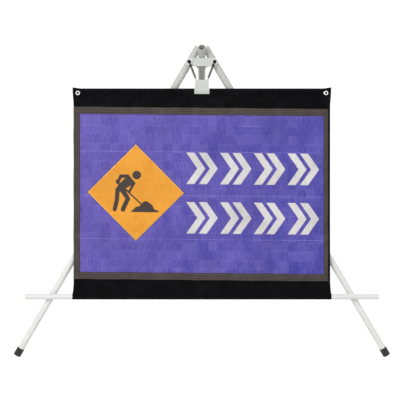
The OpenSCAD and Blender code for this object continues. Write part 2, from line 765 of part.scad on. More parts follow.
module right_binding() {
    rows = even(panel_top - tape_w, panel_bottom + tape_w, panel_steps);
    color([0.37, 0.32, 0.3]) in_hub() layer([inner_x, cloth_w / 2], rows, tape_lift, cloth_t);
}
module warning_diamond() {
    steps = 8;
    points = [for (back = [0, 1]) for (r = [0 : steps]) for (c = [0 : steps])
        let (x = diamond_x + diamond_r * (c - r) / steps, z = diamond_z + diamond_r * (steps - c - r) / steps)
            [x, rail_depth - diamond_lift + cloth_sway(x, z) + (back - 0.5) * film_t, z]];
    color([0.96, 0.66, 0.18]) in_hub() polyhedron(points, sheet_faces(steps + 1, steps + 1));
}
module work_symbol() {
    depth = rail_depth - symbol_lift + cloth_sway(diamond_x, diamond_z) + film_t / 2;
    color("black") in_hub() translate([diamond_x, depth, diamond_z]) rotate([90, 0, 0])
        linear_extrude(film_t) symbol_shape();
}
module panel_marks() {
    second = mark_size - mark_run - mark_stroke;
    color("lightgray") in_hub() for (z = mark_z) for (x = mark_x) for (shift = [0, second])
        chevron(x + shift, z);
}
module left_eyelet() { color("silver") in_hub() at_eyelet(-1) eyelet(); }
module right_eyelet() { color("silver") in_hub() at_eyelet(1) eyelet(); }

hub_plate();
rear_bracket();
leg_bolts();
front_washers();
leg_spacers();
back_washers();
leg_nuts();
rear_bolt();
rear_nut();
left_upper_tube();
left_collar();
left_knob();
left_lower_tube();
left_foot();
right_upper_tube();
right_collar();
right_knob();
right_lower_tube();
right_foot();
rear_upper_tube();
rear_collar();
rear_knob();
rear_lower_tube();
rear_foot();
left_spring();
right_spring();
hanger_clip();
top_rail();
bottom_rail();
top_band();
bottom_band();
reflective_panel();
top_binding();
bottom_binding();
left_binding();
right_binding();
warning_diamond();
work_symbol();
panel_marks();
left_eyelet();
right_eyelet();
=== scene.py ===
"""Looks of a roll-up road sign on a folding tripod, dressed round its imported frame.

Lengths are in metres. Most surfaces are worked out in the hub frame: X runs along
the sign, depth runs away from the reader and height runs up the leaning plane of
the front legs, from the point midway between the leg bolts. A lift is a distance
from the plane of the rails towards the reader.
"""

import json
import logging
import math
from dataclasses import dataclass, field
from enum import Enum

import bpy
import numpy as np
from mathutils import Matrix, Vector
from mathutils.geometry import delaunay_2d_cdt


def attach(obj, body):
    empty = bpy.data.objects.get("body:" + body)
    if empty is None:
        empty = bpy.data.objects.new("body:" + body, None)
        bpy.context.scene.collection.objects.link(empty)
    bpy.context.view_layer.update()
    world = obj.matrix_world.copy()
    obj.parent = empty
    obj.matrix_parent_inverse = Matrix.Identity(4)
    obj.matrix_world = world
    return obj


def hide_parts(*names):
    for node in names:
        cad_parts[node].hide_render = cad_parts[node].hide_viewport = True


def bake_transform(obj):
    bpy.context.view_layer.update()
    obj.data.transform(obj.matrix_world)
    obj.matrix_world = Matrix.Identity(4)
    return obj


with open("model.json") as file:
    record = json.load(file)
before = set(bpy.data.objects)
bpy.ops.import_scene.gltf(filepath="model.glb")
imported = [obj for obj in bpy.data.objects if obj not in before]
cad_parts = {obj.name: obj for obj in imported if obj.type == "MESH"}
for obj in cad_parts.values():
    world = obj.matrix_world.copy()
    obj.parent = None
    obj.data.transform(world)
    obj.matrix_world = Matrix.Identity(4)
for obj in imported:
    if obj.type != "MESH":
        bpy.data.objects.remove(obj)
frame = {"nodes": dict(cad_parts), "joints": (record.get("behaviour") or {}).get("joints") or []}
LOG = logging.getLogger("road_sign")
UV_LAYER = "Cloth"
LEG_DEPTH = 0.0165


class Slot(Enum):
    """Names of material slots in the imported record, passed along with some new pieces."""

    SPRING = "spring_steel"
    CANVAS = "black_canvas"
    SHEET = "blue_sheet"
    TAPE = "binding_tape"
    ORANGE = "orange_film"
    BLACK_FILM = "black_film"
    SILVER = "silver_film"


class Side(Enum):
    """Left or right of the middle, as the reader sees it."""

    LEFT = -1
    RIGHT = 1


@dataclass(frozen=True)
class HubFrame:
    """Place and lean of the hub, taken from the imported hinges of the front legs."""

    origin: np.ndarray
    lean: float

    @classmethod
    def from_hinges(cls, joints: list[dict], leg_depth: float) -> "HubFrame":
        """Finds the frame midway between the two front hinges.

        Args:
            joints: the record's joints.
            leg_depth: depth of the leg axes behind the front of the hub plate.

        Returns:
            The hub's frame.
        """
        found = {joint["name"]: joint for joint in joints}
        left = np.array(found["left_fold"]["pos_m"], float)
        right = np.array(found["right_fold"]["pos_m"], float)
        back = np.array(found["right_fold"]["axis"], float)
        return cls((left + right) / 2 - back * leg_depth, math.atan2(-back[2], back[1]))

    def place(self, points: np.ndarray) -> np.ndarray:
        """Turns points of x, depth and height into places in the row frame.

        Args:
            points: array whose last axis holds x, depth and height.

        Returns:
            An array of the same shape.
        """
        cos, sin = math.cos(self.lean), math.sin(self.lean)
        turn = np.array([[1, 0, 0], [0, cos, -sin], [0, sin, cos]])
        return points @ turn + self.origin


def write_mesh(name: str, points: np.ndarray, face_sets: list[np.ndarray]) -> bpy.types.Mesh:
    """Puts whole arrays into a mesh.

    Args:
        name: name of the mesh.
        points: array of places, one row each.
        face_sets: arrays of corner numbers, each with faces of one size.

    Returns:
        The mesh, shaded smooth.
    """
    corners = np.concatenate([faces.ravel() for faces in face_sets])
    totals = np.concatenate([np.full(len(faces), faces.shape[1]) for faces in face_sets])
    starts = np.concatenate([[0], np.cumsum(totals)[:-1]])
    mesh = bpy.data.meshes.new(name)
    mesh.vertices.add(len(points))
    mesh.vertices.foreach_set("co", points.astype(np.float32).ravel())
    mesh.loops.add(len(corners))
    mesh.loops.foreach_set("vertex_index", corners.astype(np.int32))
    mesh.polygons.add(len(totals))
    mesh.polygons.foreach_set("loop_start", starts.astype(np.int32))
    mesh.polygons.foreach_set("loop_total", totals.astype(np.int32))
    mesh.polygons.foreach_set("use_smooth", np.ones(len(totals), bool))
    mesh.update(calc_edges=True)
    mesh.validate()
    return mesh


def outward(points: np.ndarray, face_sets: list[np.ndarray]) -> list[np.ndarray]:
    """Turns a closed surface's faces round if they enclose a negative volume.

    The volume is the sum over triangle fans of one sixth of the triple product.

    Args:
        points: array of places.
        face_sets: arrays of corner numbers.

    Returns:
        The same arrays, with their corners reversed where needed.
    """
    centre = points.mean(axis=0)
    volume = 0.0
    for faces in face_sets:
        for k in range(1, faces.shape[1] - 1):
            a, b, c = (points[faces[:, i]] - centre for i in (0, k, k + 1))
            volume += float((a * np.cross(b, c)).sum())
    return [faces[:, ::-1] for faces in face_sets] if volume < 0 else face_sets


def make_piece(
    name: str,
    points: np.ndarray,
    face_sets: list[np.ndarray],
    material: bpy.types.Material,
    uv: np.ndarray | None = None,
) -> bpy.types.Object:
    """Makes an object at the origin from whole arrays.

    Args:
        name: name of the piece.
        points: array of places in the row frame.
        face_sets: arrays of corner numbers.
        material: its finish.
        uv: one pair for each point, in metres along the surface.

    Returns:
        The new object.
    """
    mesh = write_mesh(name, points, outward(points, face_sets))
    if uv is not None:
        index = np.zeros(len(mesh.loops), np.int32)
        mesh.loops.foreach_get("vertex_index", index)
        layer = mesh.uv_layers.new(name=UV_LAYER)
        layer.uv.foreach_set("vector", uv[index].astype(np.float32).ravel())
    mesh.materials.append(material)
    piece = bpy.data.objects.new(name, mesh)
    bpy.context.scene.collection.objects.link(piece)
    return piece


def grid_quads(rows: int, columns: int) -> np.ndarray:
    """Quads between neighbouring points of a grid numbered row by row."""
    first = (np.arange(rows - 1)[:, None] * columns + np.arange(columns - 1)).ravel()
    return np.stack([first, first + columns, first + columns + 1, first + 1], axis=1)


def border_of(rows: int, columns: int) -> np.ndarray:
    """Numbers of a grid's border points in order, the first one repeated at the end."""
    top = np.arange(columns)
    right = np.arange(1, rows) * columns + columns - 1
    bottom = (rows - 1) * columns + np.arange(columns - 2, -1, -1)
    left = np.arange(rows - 2, -1, -1) * columns
    return np.concatenate([top, right, bottom, left])


def tube_quads(rings: int, sides: int) -> np.ndarray:
    """Quads between neighbouring rings of a tube numbered ring by ring."""
    unit = np.arange(rings - 1)[:, None] * sides
    here = (unit + np.arange(sides)).ravel()
    beside = (unit + (np.arange(sides) + 1) % sides).ravel()
    return np.stack([here, beside, beside + sides, here + sides], axis=1)


def thicken(middle: np.ndarray, thickness: float) -> tuple[np.ndarray, list[np.ndarray]]:
    """Closes a grid of middle points into a sheet.

    Each point moves half the thickness along the surface's normal, which is the
    cross product of the steps down and across, to both sides, and a rim joins them.

    Args:
        middle: array of rows, columns and three coordinates.
        thickness: thickness of the sheet.

    Returns:
        The points and the sets of faces.
    """
    rows, columns = middle.shape[:2]
    normal = np.cross(np.gradient(middle, axis=0), np.gradient(middle, axis=1))
    normal /= np.linalg.norm(normal, axis=2, keepdims=True)
    offset = normal * thickness / 2
    points = np.concatenate([(middle + offset).reshape(-1, 3), (middle - offset).reshape(-1, 3)])
    quads = grid_quads(rows, columns)
    count = rows * columns
    ring = border_of(rows, columns)
    rim = np.stack([ring[1:], ring[:-1], ring[:-1] + count, ring[1:] + count], axis=1)
    return points, [np.concatenate([quads, quads[:, ::-1] + count, rim[:, ::-1]])]


def sheet_uv(middle: np.ndarray) -> np.ndarray:
    """Distances across and down a sheet, for both of its faces.

    Args:
        middle: array of rows, columns and three coordinates.

    Returns:
        One pair for each point that thicken() makes.
    """
    across = np.linalg.norm(np.diff(middle, axis=1), axis=2).mean(axis=0)
    down = np.linalg.norm(np.diff(middle, axis=0), axis=2).mean(axis=1)
    u = np.concatenate([[0], np.cumsum(across)])
    v = np.concatenate([[0], np.cumsum(down)])
    pairs = np.stack(np.meshgrid(u, -v), axis=2).reshape(-1, 2)
    return np.concatenate([pairs, pairs])


def smooth_step(low: float, high: float, value: np.ndarray) -> np.ndarray:
    """Rises from 0 at low to 1 at high with the cubic 3t^2 - 2t^3."""
    t = np.clip((value - low) / (high - low), 0, 1)
    return t * t * (3 - 2 * t)


def bell(value: np.ndarray, centre: float, width: float) -> np.ndarray:
    """A bump of height 1: e to minus the square of the distance over the width."""
    return np.exp(-(((value - centre) / width) ** 2))


def resample(path: np.ndarray, step: float) -> np.ndarray:
    """Points along a line at even distances.

    Args:
        path: array of points.
        step: wanted distance between points.

    Returns:
        The new points, ends included.
    """
    length = np.concatenate([[0], np.cumsum(np.linalg.norm(np.diff(path, axis=0), axis=1))])
    even = np.linspace(0, length[-1], max(2, int(round(length[-1] / step)) + 1))
    return np.stack([np.interp(even, length, path[:, i]) for i in range(path.shape[1])], axis=1)


def soften(path: np.ndarray, passes: int) -> np.ndarray:
    """Rounds a line's corners.

    Each pass moves every inner point to half of itself plus a quarter of each neighbour.
    """
    for _ in range(passes):
        path = np.concatenate([path[:1], (path[:-2] + 2 * path[1:-1] + path[2:]) / 4, path[-1:]])
    return path


def sweep(path: np.ndarray, radius: float, sides: int) -> tuple[np.ndarray, list[np.ndarray]]:
    """Carries a circle along a line and closes both ends.

    Each ring lies square to the line. Its first direction is carried from ring to
    ring with the part along the line taken away, so that the tube doesn't twist.

    Args:
        path: array of points along the middle of the tube.
        radius: radius of the tube.
        sides: number of sides.

    Returns:
        The points and the sets of faces.
    """
    tangent = np.gradient(path, axis=0)
    tangent /= np.linalg.norm(tangent, axis=1, keepdims=True)
    first = np.cross(tangent[0], [0.0, 0.0, 1.0] if abs(tangent[0][2]) < 0.9 else [1.0, 0.0, 0.0])
    carried = [first / np.linalg.norm(first)]
    for direction in tangent[1:]:
        side = carried[-1] - direction * float(carried[-1] @ direction)
        carried.append(side / np.linalg.norm(side))
    one = np.array(carried)
    two = np.cross(tangent, one)
    angle = np.arange(sides) * math.tau / sides
    ring = np.cos(angle)[None, :, None] * one[:, None] + np.sin(angle)[None, :, None] * two[:, None]
    points = (path[:, None] + radius * ring).reshape(-1, 3)
    count = len(path)
    ends = np.stack([np.arange(sides)[::-1], (count - 1) * sides + np.arange(sides)])
    return points, [tube_quads(count, sides), ends]


def arc_points(centre: np.ndarray, radius: float, start: float, end: float, count: int) -> np.ndarray:
    """Points of an arc, from one angle in degrees to another."""
    angle = np.radians(np.linspace(start, end, count))
    return np.asarray(centre) + radius * np.stack([np.cos(angle), np.sin(angle)], axis=1)


def aimed(place: tuple[float, float, float], target: tuple[float, float, float]) -> Matrix:
    """Places a camera or a lamp so that it looks from one point to another."""
    aim = Vector(target) - Vector(place)
    return Matrix.Translation(Vector(place)) @ aim.to_track_quat("-Z", "Y").to_matrix().to_4x4()


class Graph:
    """Adds nodes to one node tree and joins them."""

    def __init__(self, tree: bpy.types.NodeTree) -> None:
        """Keeps the tree that the nodes go into."""
        self.tree = tree

    def add(self, kind: str, inputs: dict | None = None, **settings: object) -> bpy.types.Node:
        """Adds one node.

        Args:
            kind: Blender's name of the node, without its ShaderNode beginning.
            inputs: input name or number to a value or to an output to join.
            settings: properties of the node.

        Returns:
            The new node.
        """
        node = self.tree.nodes.new("ShaderNode" + kind)
        for name, value in settings.items():
            setattr(node, name, value)
        for name, value in (inputs or {}).items():
            self.join(value, node.inputs[name])
        return node

    def join(self, value: object, socket: bpy.types.NodeSocket) -> None:
        """Joins an output to a socket, or sets the socket's value."""
        if isinstance(value, bpy.types.NodeSocket):
            self.tree.links.new(value, socket)
        else:
            socket.default_value = value

    def math(self, operation: str, *values: object) -> bpy.types.NodeSocket:
        """Adds a Math node and returns its output."""
        return self.add("Math", dict(enumerate(values)), operation=operation).outputs[0]

    def mix(self, share: object, low: object, high: object) -> bpy.types.NodeSocket:
        """Mixes two colours by a share and returns the output."""
        node = self.add("Mix", data_type="RGBA")
        for value, socket in zip((share, low, high), (node.inputs[0], node.inputs[6], node.inputs[7])):
            self.join(value, socket)
        return node.outputs[2]

    def ramp(self, value: object, low: float, high: object, start: float, end: float) -> bpy.types.NodeSocket:
        """Maps a value from low..high to start..end and clamps it."""
        inputs = {"Value": value, 1: low, 2: high, 3: start, 4: end}
        return self.add("MapRange", inputs, clamp=True).outputs[0]

    def noise(
        self,
        where: bpy.types.NodeSocket,
        scale: float,
        detail: float,
        roughness: float = 0.5,
        stretch: tuple[float, float, float] | None = None,
        turn: float = 0.0,
    ) -> bpy.types.NodeSocket:
        """Adds noise, on coordinates that may be turned and stretched first.

        Args:
            where: coordinates that it is read at.
            scale: number of features in a metre, or in a unit of stretched length.
            detail: number of octaves.
            roughness: strength of the finer octaves.
            stretch: factors on the three coordinates.
            turn: angle about the third axis in radians.

        Returns:
            The noise's value, from 0 to 1.
        """
        if stretch:
            where = self.add("Mapping", {0: where, "Scale": stretch, "Rotation": (0.0, 0.0, turn)}).outputs[0]
        inputs = {"Vector": where, "Scale": scale, "Detail": detail, "Roughness": roughness}
        return self.add("TexNoise", inputs).outputs[0]


def group_of(
    name: str, inputs: dict[str, float], outputs: list[str]
) -> tuple[bpy.types.NodeTree, Graph, dict, dict]:
    """Starts a shader node group with named sockets.

    Args:
        name: name of the group.
        inputs: float inputs and their defaults. One named Vector is a vector.
        outputs: names of the float outputs.

    Returns:
        The tree, a graph on it, its inputs' outputs by name and its outputs' inputs by name.
    """
    tree = bpy.data.node_groups.new(name, "ShaderNodeTree")
    for key, value in inputs.items():
        kind = "NodeSocketVector" if key == "Vector" else "NodeSocketFloat"
        socket = tree.interface.new_socket(key, in_out="INPUT", socket_type=kind)
        if key != "Vector":
            socket.default_value = value
    for key in outputs:
        tree.interface.new_socket(key, in_out="OUTPUT", socket_type="NodeSocketFloat")
    start, end = tree.nodes.new("NodeGroupInput"), tree.nodes.new("NodeGroupOutput")
    given = {key: start.outputs[key] for key in inputs}
    return tree, Graph(tree), given, {key: end.inputs[key] for key in outputs}


class Effects:
    """Shared node groups: weave, lattice and grime."""

    def __init__(self) -> None:
        """Builds each group once."""
        self.weave = self._weave()
        self.lattice = self._lattice()
        self.grime = self._grime()

    @staticmethod
    def _weave() -> bpy.types.NodeTree:
        """Plain weave: the higher of two crossed sets of round threads, each passing over and under.

        Returns:
            A group that gives a Height from 0 to 1.
        """
        tree, g, given, out = group_of("plain_weave", {"Vector": 0, "Pitch": 0.001}, ["Height"])
        parts = g.add("SeparateXYZ", {0: given["Vector"]})
        waves = []
        for own, other, shift in ((0, 1, 0.0), (1, 0, 0.5)):
            a = g.math("DIVIDE", parts.outputs[own], given["Pitch"])
            b = g.math("DIVIDE", parts.outputs[other], given["Pitch"])
            thread = g.math("ABSOLUTE", g.math("SINE", g.math("MULTIPLY", a, math.pi)))
            row = g.math("MODULO", g.math("FLOOR", a), 2.0)
            phase = g.math("MULTIPLY", g.math("ADD", g.math("ADD", b, row), shift), math.pi)
            over = g.math("MULTIPLY_ADD", g.math("SINE", phase), 0.35, 0.65)
            waves.append(g.math("MULTIPLY", thread, over))
        g.join(g.math("MAXIMUM", *waves), out["Height"])
        return tree

    @staticmethod
    def _lattice() -> bpy.types.NodeTree:
        """Lines at even distances across and down, and a random value for each cell between them.

        A line's mask is one minus the distance to the nearest line over its width.

        Returns:
            A group that gives Across for level lines, Down for upright ones and the Cell's value.
        """
        tree, g, given, out = group_of(
            "lattice", {"Vector": 0, "Pitch": 0.031, "Width": 0.0012}, ["Across", "Down", "Cell"]
        )
        parts = g.add("SeparateXYZ", {0: given["Vector"]})
        for name, own in (("Down", 0), ("Across", 1)):
            near = g.math("PINGPONG", parts.outputs[own], g.math("MULTIPLY", given["Pitch"], 0.5))
            mask = g.math("SUBTRACT", 1.0, g.math("DIVIDE", near, given["Width"]))
            g.join(g.math("MAXIMUM", mask, 0.0), out[name])
        cell = g.add("VectorMath", {0: given["Vector"], 1: given["Pitch"]}, operation="DIVIDE")
        whole = g.add("VectorMath", {0: cell.outputs[0]}, operation="FLOOR")
        g.join(g.add("TexWhiteNoise", {"Vector": whole.outputs[0]}).outputs[0], out["Cell"])
        return tree

    @staticmethod
    def _grime() -> bpy.types.NodeTree:
        """Cloudy dirt, strongest near the ground, and a fine grain.

        Returns:
            A group that gives a Mask of dirt and a fine Grain, both from 0 to 1.
        """
        tree, g, given, out = group_of(
            "grime", {"Vector": 0, "Size": 0.05, "Ground": 0.25, "Amount": 0.3}, ["Mask", "Grain"]
        )
        scaled = g.add("VectorMath", {0: given["Vector"], 1: given["Size"]}, operation="DIVIDE")
        height = g.add("SeparateXYZ", {0: given["Vector"]}).outputs[2]
        low = g.ramp(height, 0.0, given["Ground"], 1.0, 0.25)
        spots = g.ramp(g.noise(scaled.outputs[0], 1.0, 4.0, 0.6), 0.45, 0.75, 0.0, 1.0)
        g.join(g.math("MULTIPLY", g.math("MULTIPLY", spots, low), given["Amount"]), out["Mask"])
        g.join(g.noise(scaled.outputs[0], 14.0, 2.0), out["Grain"])
        return tree


@dataclass(frozen=True)
class Finish:
    """What every finish holds: its name, its colour and its plain gloss."""

    name: str
    colour: tuple[float, float, float]
    roughness: float = 0.5

    def begin(self) -> tuple[bpy.types.Material, Graph, bpy.types.Node]:
        """Starts a material.

        Returns:
            The material, a graph on its nodes and its Principled BSDF.
        """
        material = bpy.data.materials.new(self.name)
        material.use_nodes = True
        shader = material.node_tree.nodes["Principled BSDF"]
        shader.inputs["Base Color"].default_value = self.tint()
        shader.inputs["Roughness"].default_value = self.roughness
        return material, Graph(material.node_tree), shader

    def tint(self, share: float = 1.0) -> tuple[float, float, float, float]:
        """The colour times a share, with an alpha of 1."""
        return (*[c * share for c in self.colour], 1)

    def vary_gloss(self, g: Graph, shader: bpy.types.Node, value: object, less: float, more: float) -> None:
        """Lets a noise move the roughness between less below and more above its plain value."""
        rough = g.ramp(value, 0.3, 0.7, self.roughness - less, self.roughness + more)
        g.join(rough, shader.inputs["Roughness"])

    def bump(self, g: Graph, shader: bpy.types.Node, height: object, depth: float) -> None:
        """Feeds a height into the shader's normal, with the depth in metres at a height of 1."""
        node = g.add("Bump", {"Height": height, "Strength": 1.0, "Distance": depth})
        g.join(node.outputs[0], shader.inputs["Normal"])

    def place(self, g: Graph, output: str = "Object") -> bpy.types.NodeSocket:
        """The Object coordinates, or the piece's own UV in metres."""
        if output == "UV":
            return g.add("UVMap", uv_map=UV_LAYER).outputs[0]
        return g.add("TexCoord").outputs[output]

    def group(self, g: Graph, tree: bpy.types.NodeTree, **inputs: object) -> bpy.types.Node:
        """Places a shared group with its own values."""
        node = g.add("Group")
        node.node_tree = tree
        for key, value in inputs.items():
            g.join(value, node.inputs[key])
        return node


@dataclass(frozen=True)
class Enamel(Finish):
    """Sprayed and baked white enamel: soft gloss, faint orange peel and a little dirt near the ground."""

    dirt: tuple[float, float, float] = (0.42, 0.39, 0.34)
    cloud_scale: float = 9.0
    cloud_share: float = 0.97
    peel_size: float = 0.0035
    peel_depth: float = 0.00002
    specular: float = 0.3
    coat: float = 0.06
    coat_roughness: float = 0.18

    def make(self, effects: Effects) -> bpy.types.Material:
        """Builds the material."""
        material, g, shader = self.begin()
        where = self.place(g)
        grime = self.group(g, effects.grime, Vector=where, Size=0.06, Ground=0.3, Amount=0.22)
        cloud = g.ramp(g.noise(where, self.cloud_scale, 3.0), 0.3, 0.7, 0.0, 1.0)
        paint = g.mix(cloud, self.tint(self.cloud_share), self.tint())
        g.join(g.mix(grime.outputs["Mask"], paint, (*self.dirt, 1)), shader.inputs["Base Color"])
        self.vary_gloss(g, shader, grime.outputs["Grain"], 0.05, 0.08)
        self.bump(g, shader, g.noise(where, 1 / self.peel_size, 1.0), self.peel_depth)
        shader.inputs["Specular IOR Level"].default_value = self.specular
        shader.inputs["Coat Weight"].default_value = self.coat
        shader.inputs["Coat Roughness"].default_value = self.coat_roughness
        return material


@dataclass(frozen=True)
class Metal(Finish):
    """Bare, plated or blackened steel, with fine scratches and cloudy gloss."""

    metallic: float = 1.0
    scratch_size: float = 0.0009
    scratch_depth: float = 0.000006

    def make(self, effects: Effects) -> bpy.types.Material:
        """Builds the material."""
        material, g, shader = self.begin()
        where = self.place(g)
        lines = g.noise(where, 1 / self.scratch_size, 2.0)
        grime = self.group(g, effects.grime, Vector=where, Size=0.008, Ground=0.1, Amount=0.9)
        shade = g.ramp(grime.outputs["Mask"], 0.0, 0.3, 1.0, 0.0)
        g.join(g.mix(shade, self.tint(0.7), self.tint()), shader.inputs["Base Color"])
        self.vary_gloss(g, shader, lines, 0.07, 0.12)
        self.bump(g, shader, lines, self.scratch_depth)
        shader.inputs["Metallic"].default_value = self.metallic
        return material


@dataclass(frozen=True)
class Moulded(Finish):
    """Moulded plastic or rubber with a fine grain and pale scuffs."""

    scuff: tuple[float, float, float] = (0.12, 0.12, 0.12)
    scuff_amount: float = 0.35
    grain_size: float = 0.0006
    grain_depth: float = 0.00003
    specular: float = 0.5

    def make(self, effects: Effects) -> bpy.types.Material:
        """Builds the material."""
        material, g, shader = self.begin()
        where = self.place(g)
        grime = self.group(g, effects.grime, Vector=where, Size=0.006, Ground=0.03, Amount=self.scuff_amount)
        g.join(g.mix(grime.outputs["Mask"], self.tint(), (*self.scuff, 1)), shader.inputs["Base Color"])
        grain = g.noise(where, 1 / self.grain_size, 2.0)
        self.vary_gloss(g, shader, grain, 0.05, 0.1)
        self.bump(g, shader, grain, self.grain_depth)
        shader.inputs["Specular IOR Level"].default_value = self.specular
        return material


@dataclass(frozen=True)
class Woven(Finish):
    """Woven cloth or tape: crossed threads, soft clouds of wear, lengthwise lines of painted sheen, and
    painted shade between the threads.
    """

    pitch: float = 0.0011
    depth: float = 0.00022
    # Lighter colour of the wear clouds, and of the painted sheen lines.
    worn: tuple[float, float, float] = (0.02, 0.02, 0.02)
    wear_scale: float = 22.0
    region_scale: float = 3.0
    # Strength of the painted sheen: lighter lengthwise lines across the strip.
    line: float = 0.0
    sheen_line_pitch: float = 0.006
    specular: float = 0.1

    def make(self, effects: Effects) -> bpy.types.Material:
        """Builds the material."""
        material, g, shader = self.begin()
        where = self.place(g, "UV")
        weave = self.group(g, effects.weave, Vector=where, Pitch=self.pitch).outputs["Height"]
        cloud = g.ramp(g.noise(where, self.wear_scale, 5.0, 0.65), 0.4, 0.75, 0.0, 1.0)
        region = g.ramp(g.noise(where, self.region_scale, 2.0), 0.35, 0.65, 0.3, 1.0)
        wear = g.math("MULTIPLY", cloud, region)
        colour = g.mix(wear, self.tint(), (*self.worn, 1))
        # Painted sheen: a sine across the strip lays lighter lengthwise lines, standing in for gloss on the
        # ribs.
        if self.line:
            across = g.add("SeparateXYZ", {0: where}).outputs[0]
            wave = g.math("SINE", g.math("MULTIPLY", across, math.tau / self.sheen_line_pitch))
            colour = g.mix(g.ramp(wave, -0.2, 0.9, 0.0, self.line), colour, (*self.worn, 1))
        # Painted shade: the low parts of the weave, between the threads, darken towards a third of the
        # colour.
        thread_gap_shade = g.ramp(weave, 0.1, 0.8, 0.55, 0.0)
        g.join(g.mix(thread_gap_shade, colour, self.tint(0.35)), shader.inputs["Base Color"])
        self.bump(g, shader, weave, self.depth)
        shader.inputs["Specular IOR Level"].default_value = self.specular
        return material


@dataclass(frozen=True)
class Reflective(Finish):
    """Prismatic reflective film: sealed cells in a lattice, seams, and fine upright streaks, with painted
    light and shade in its colour.
    """

    # Painted shade: the colour the film darkens to at the far right end of the span.
    shaded_far_colour: tuple[float, float, float] = (0.0, 0.0, 0.0)
    span: float = 0.9
    # Pale colour of the painted glints; the lit copy leans towards it.
    pale: tuple[float, float, float] = (1.0, 1.0, 1.0)
    # Darker colour of the painted shade patches, and their strength.
    deep_shade: tuple[float, float, float] = (0.0, 0.0, 0.0)
    deep_shade_share: float = 0.0
    seam_share: float = 0.6
    cell_share: float = 0.18
    streak_share: float = 0.3
    cell: float = 0.0311
    seam: float = 0.1524
    line_width: float = 0.0012
    cloud_scale: float = 7.0
    streak_stretch: tuple[float, float, float] = (320.0, 38.0, 1.0)
    fade_stretch: tuple[float, float, float] = (9.0, 60.0, 1.0)
    pool_stretch: tuple[float, float, float] = (26.0, 8.0, 1.0)
    pool_turn: float = 0.2
    relief: float = 0.00012
    coat: float = 0.12
    coat_roughness: float = 0.22
    specular: float = 0.3

    def shade_pools(
        self, g: Graph, where: bpy.types.NodeSocket, tone: bpy.types.NodeSocket
    ) -> bpy.types.NodeSocket:
        """Mixes in painted shade, a deeper colour in stretched patches where the film lies slack, most at the
        far lower end.

        Args:
            g: graph of the material.
            where: place on the film in metres.
            tone: colour so far.

        Returns:
            The mixed colour.
        """
        if not self.deep_shade_share:
            return tone
        parts = g.add("SeparateXYZ", {0: where})
        far = g.ramp(parts.outputs[0], 0.1 * self.span, self.span, 0.3, 1.0)
        low = g.ramp(parts.outputs[1], -0.1, -0.55, 0.55, 1.0)
        pool = g.noise(where, 1.0, 3.0, 0.55, stretch=self.pool_stretch, turn=self.pool_turn)
        mask = g.math("MULTIPLY", g.ramp(pool, 0.48, 0.7, 0.0, self.deep_shade_share), g.math("MULTIPLY", far, low))
        return g.mix(mask, tone, (*self.deep_shade, 1))

    def make(self, effects: Effects) -> bpy.types.Material:
        """Builds the material."""
        material, g, shader = self.begin()
        where = self.place(g, "UV")
        parts = g.add("SeparateXYZ", {0: where})
        base = self.tint()
        # Painted shade: the colour darkens from left to right across the span.
        if self.shaded_far_colour != (0.0, 0.0, 0.0):
            base = g.mix(g.ramp(parts.outputs[0], 0.0, self.span, 0.0, 1.0), base, (*self.shaded_far_colour, 1))
        cells = self.group(g, effects.lattice, Vector=where, Pitch=self.cell, Width=self.line_width)
        seams = self.group(g, effects.lattice, Vector=where, Pitch=self.seam, Width=self.line_width * 0.9)
        streak = g.noise(where, 1.0, 3.0, 0.6, stretch=self.streak_stretch)
        fade = g.noise(where, 1.0, 2.0, stretch=self.fade_stretch)
        cloud = g.noise(where, self.cloud_scale, 3.0)
        # Painted light and shade: a lit and a dim copy of the colour, laid on by the streaks, the cells, the
        # clouds and the upright lattice lines.
        dim = self.tint(0.5)
        lit = (*[c + (p - c) * 0.45 for c, p in zip(self.colour, self.pale)], 1)
        tone = g.mix(g.ramp(streak, 0.35, 0.75, 0.0, self.streak_share), base, lit)
        tone = g.mix(g.ramp(streak, 0.5, 0.2, 0.0, self.streak_share * 1.6), tone, dim)
        tone = g.mix(g.ramp(cells.outputs["Cell"], 0.0, 1.0, 0.0, self.cell_share), tone, lit)
        tone = g.mix(g.ramp(cloud, 0.35, 0.65, self.cell_share, 0.0), tone, dim)
        upright = g.math("MULTIPLY", cells.outputs["Down"], g.ramp(fade, 0.4, 0.7, 0.05, self.seam_share))
        tone = g.mix(upright, tone, dim)
        # Painted glints: pale level lattice lines and seams, faded in and out along them, stand in for
        # highlights on the ridges.
        level = g.math("MULTIPLY", cells.outputs["Across"], g.ramp(fade, 0.48, 0.72, 0.0, self.seam_share))
        seam_glint = g.math("MULTIPLY", seams.outputs["Across"], g.ramp(fade, 0.3, 0.6, 0.35, 1.0))
        seam_glint = g.math("MULTIPLY", seam_glint, self.seam_share * 1.3)
        tone = g.mix(g.math("MAXIMUM", level, seam_glint), tone, (*self.pale, 1))
        g.join(self.shade_pools(g, where, tone), shader.inputs["Base Color"])
        lines = g.math("MAXIMUM", cells.outputs["Down"], cells.outputs["Across"])
        fine = g.math("MULTIPLY", streak, 0.35)
        self.bump(g, shader, g.math("SUBTRACT", fine, lines), self.relief)
        self.vary_gloss(g, shader, streak, 0.08, 0.1)
        shader.inputs["Specular IOR Level"].default_value = self.specular
        shader.inputs["Coat Weight"].default_value = self.coat
        shader.inputs["Coat Roughness"].default_value = self.coat_roughness
        return material


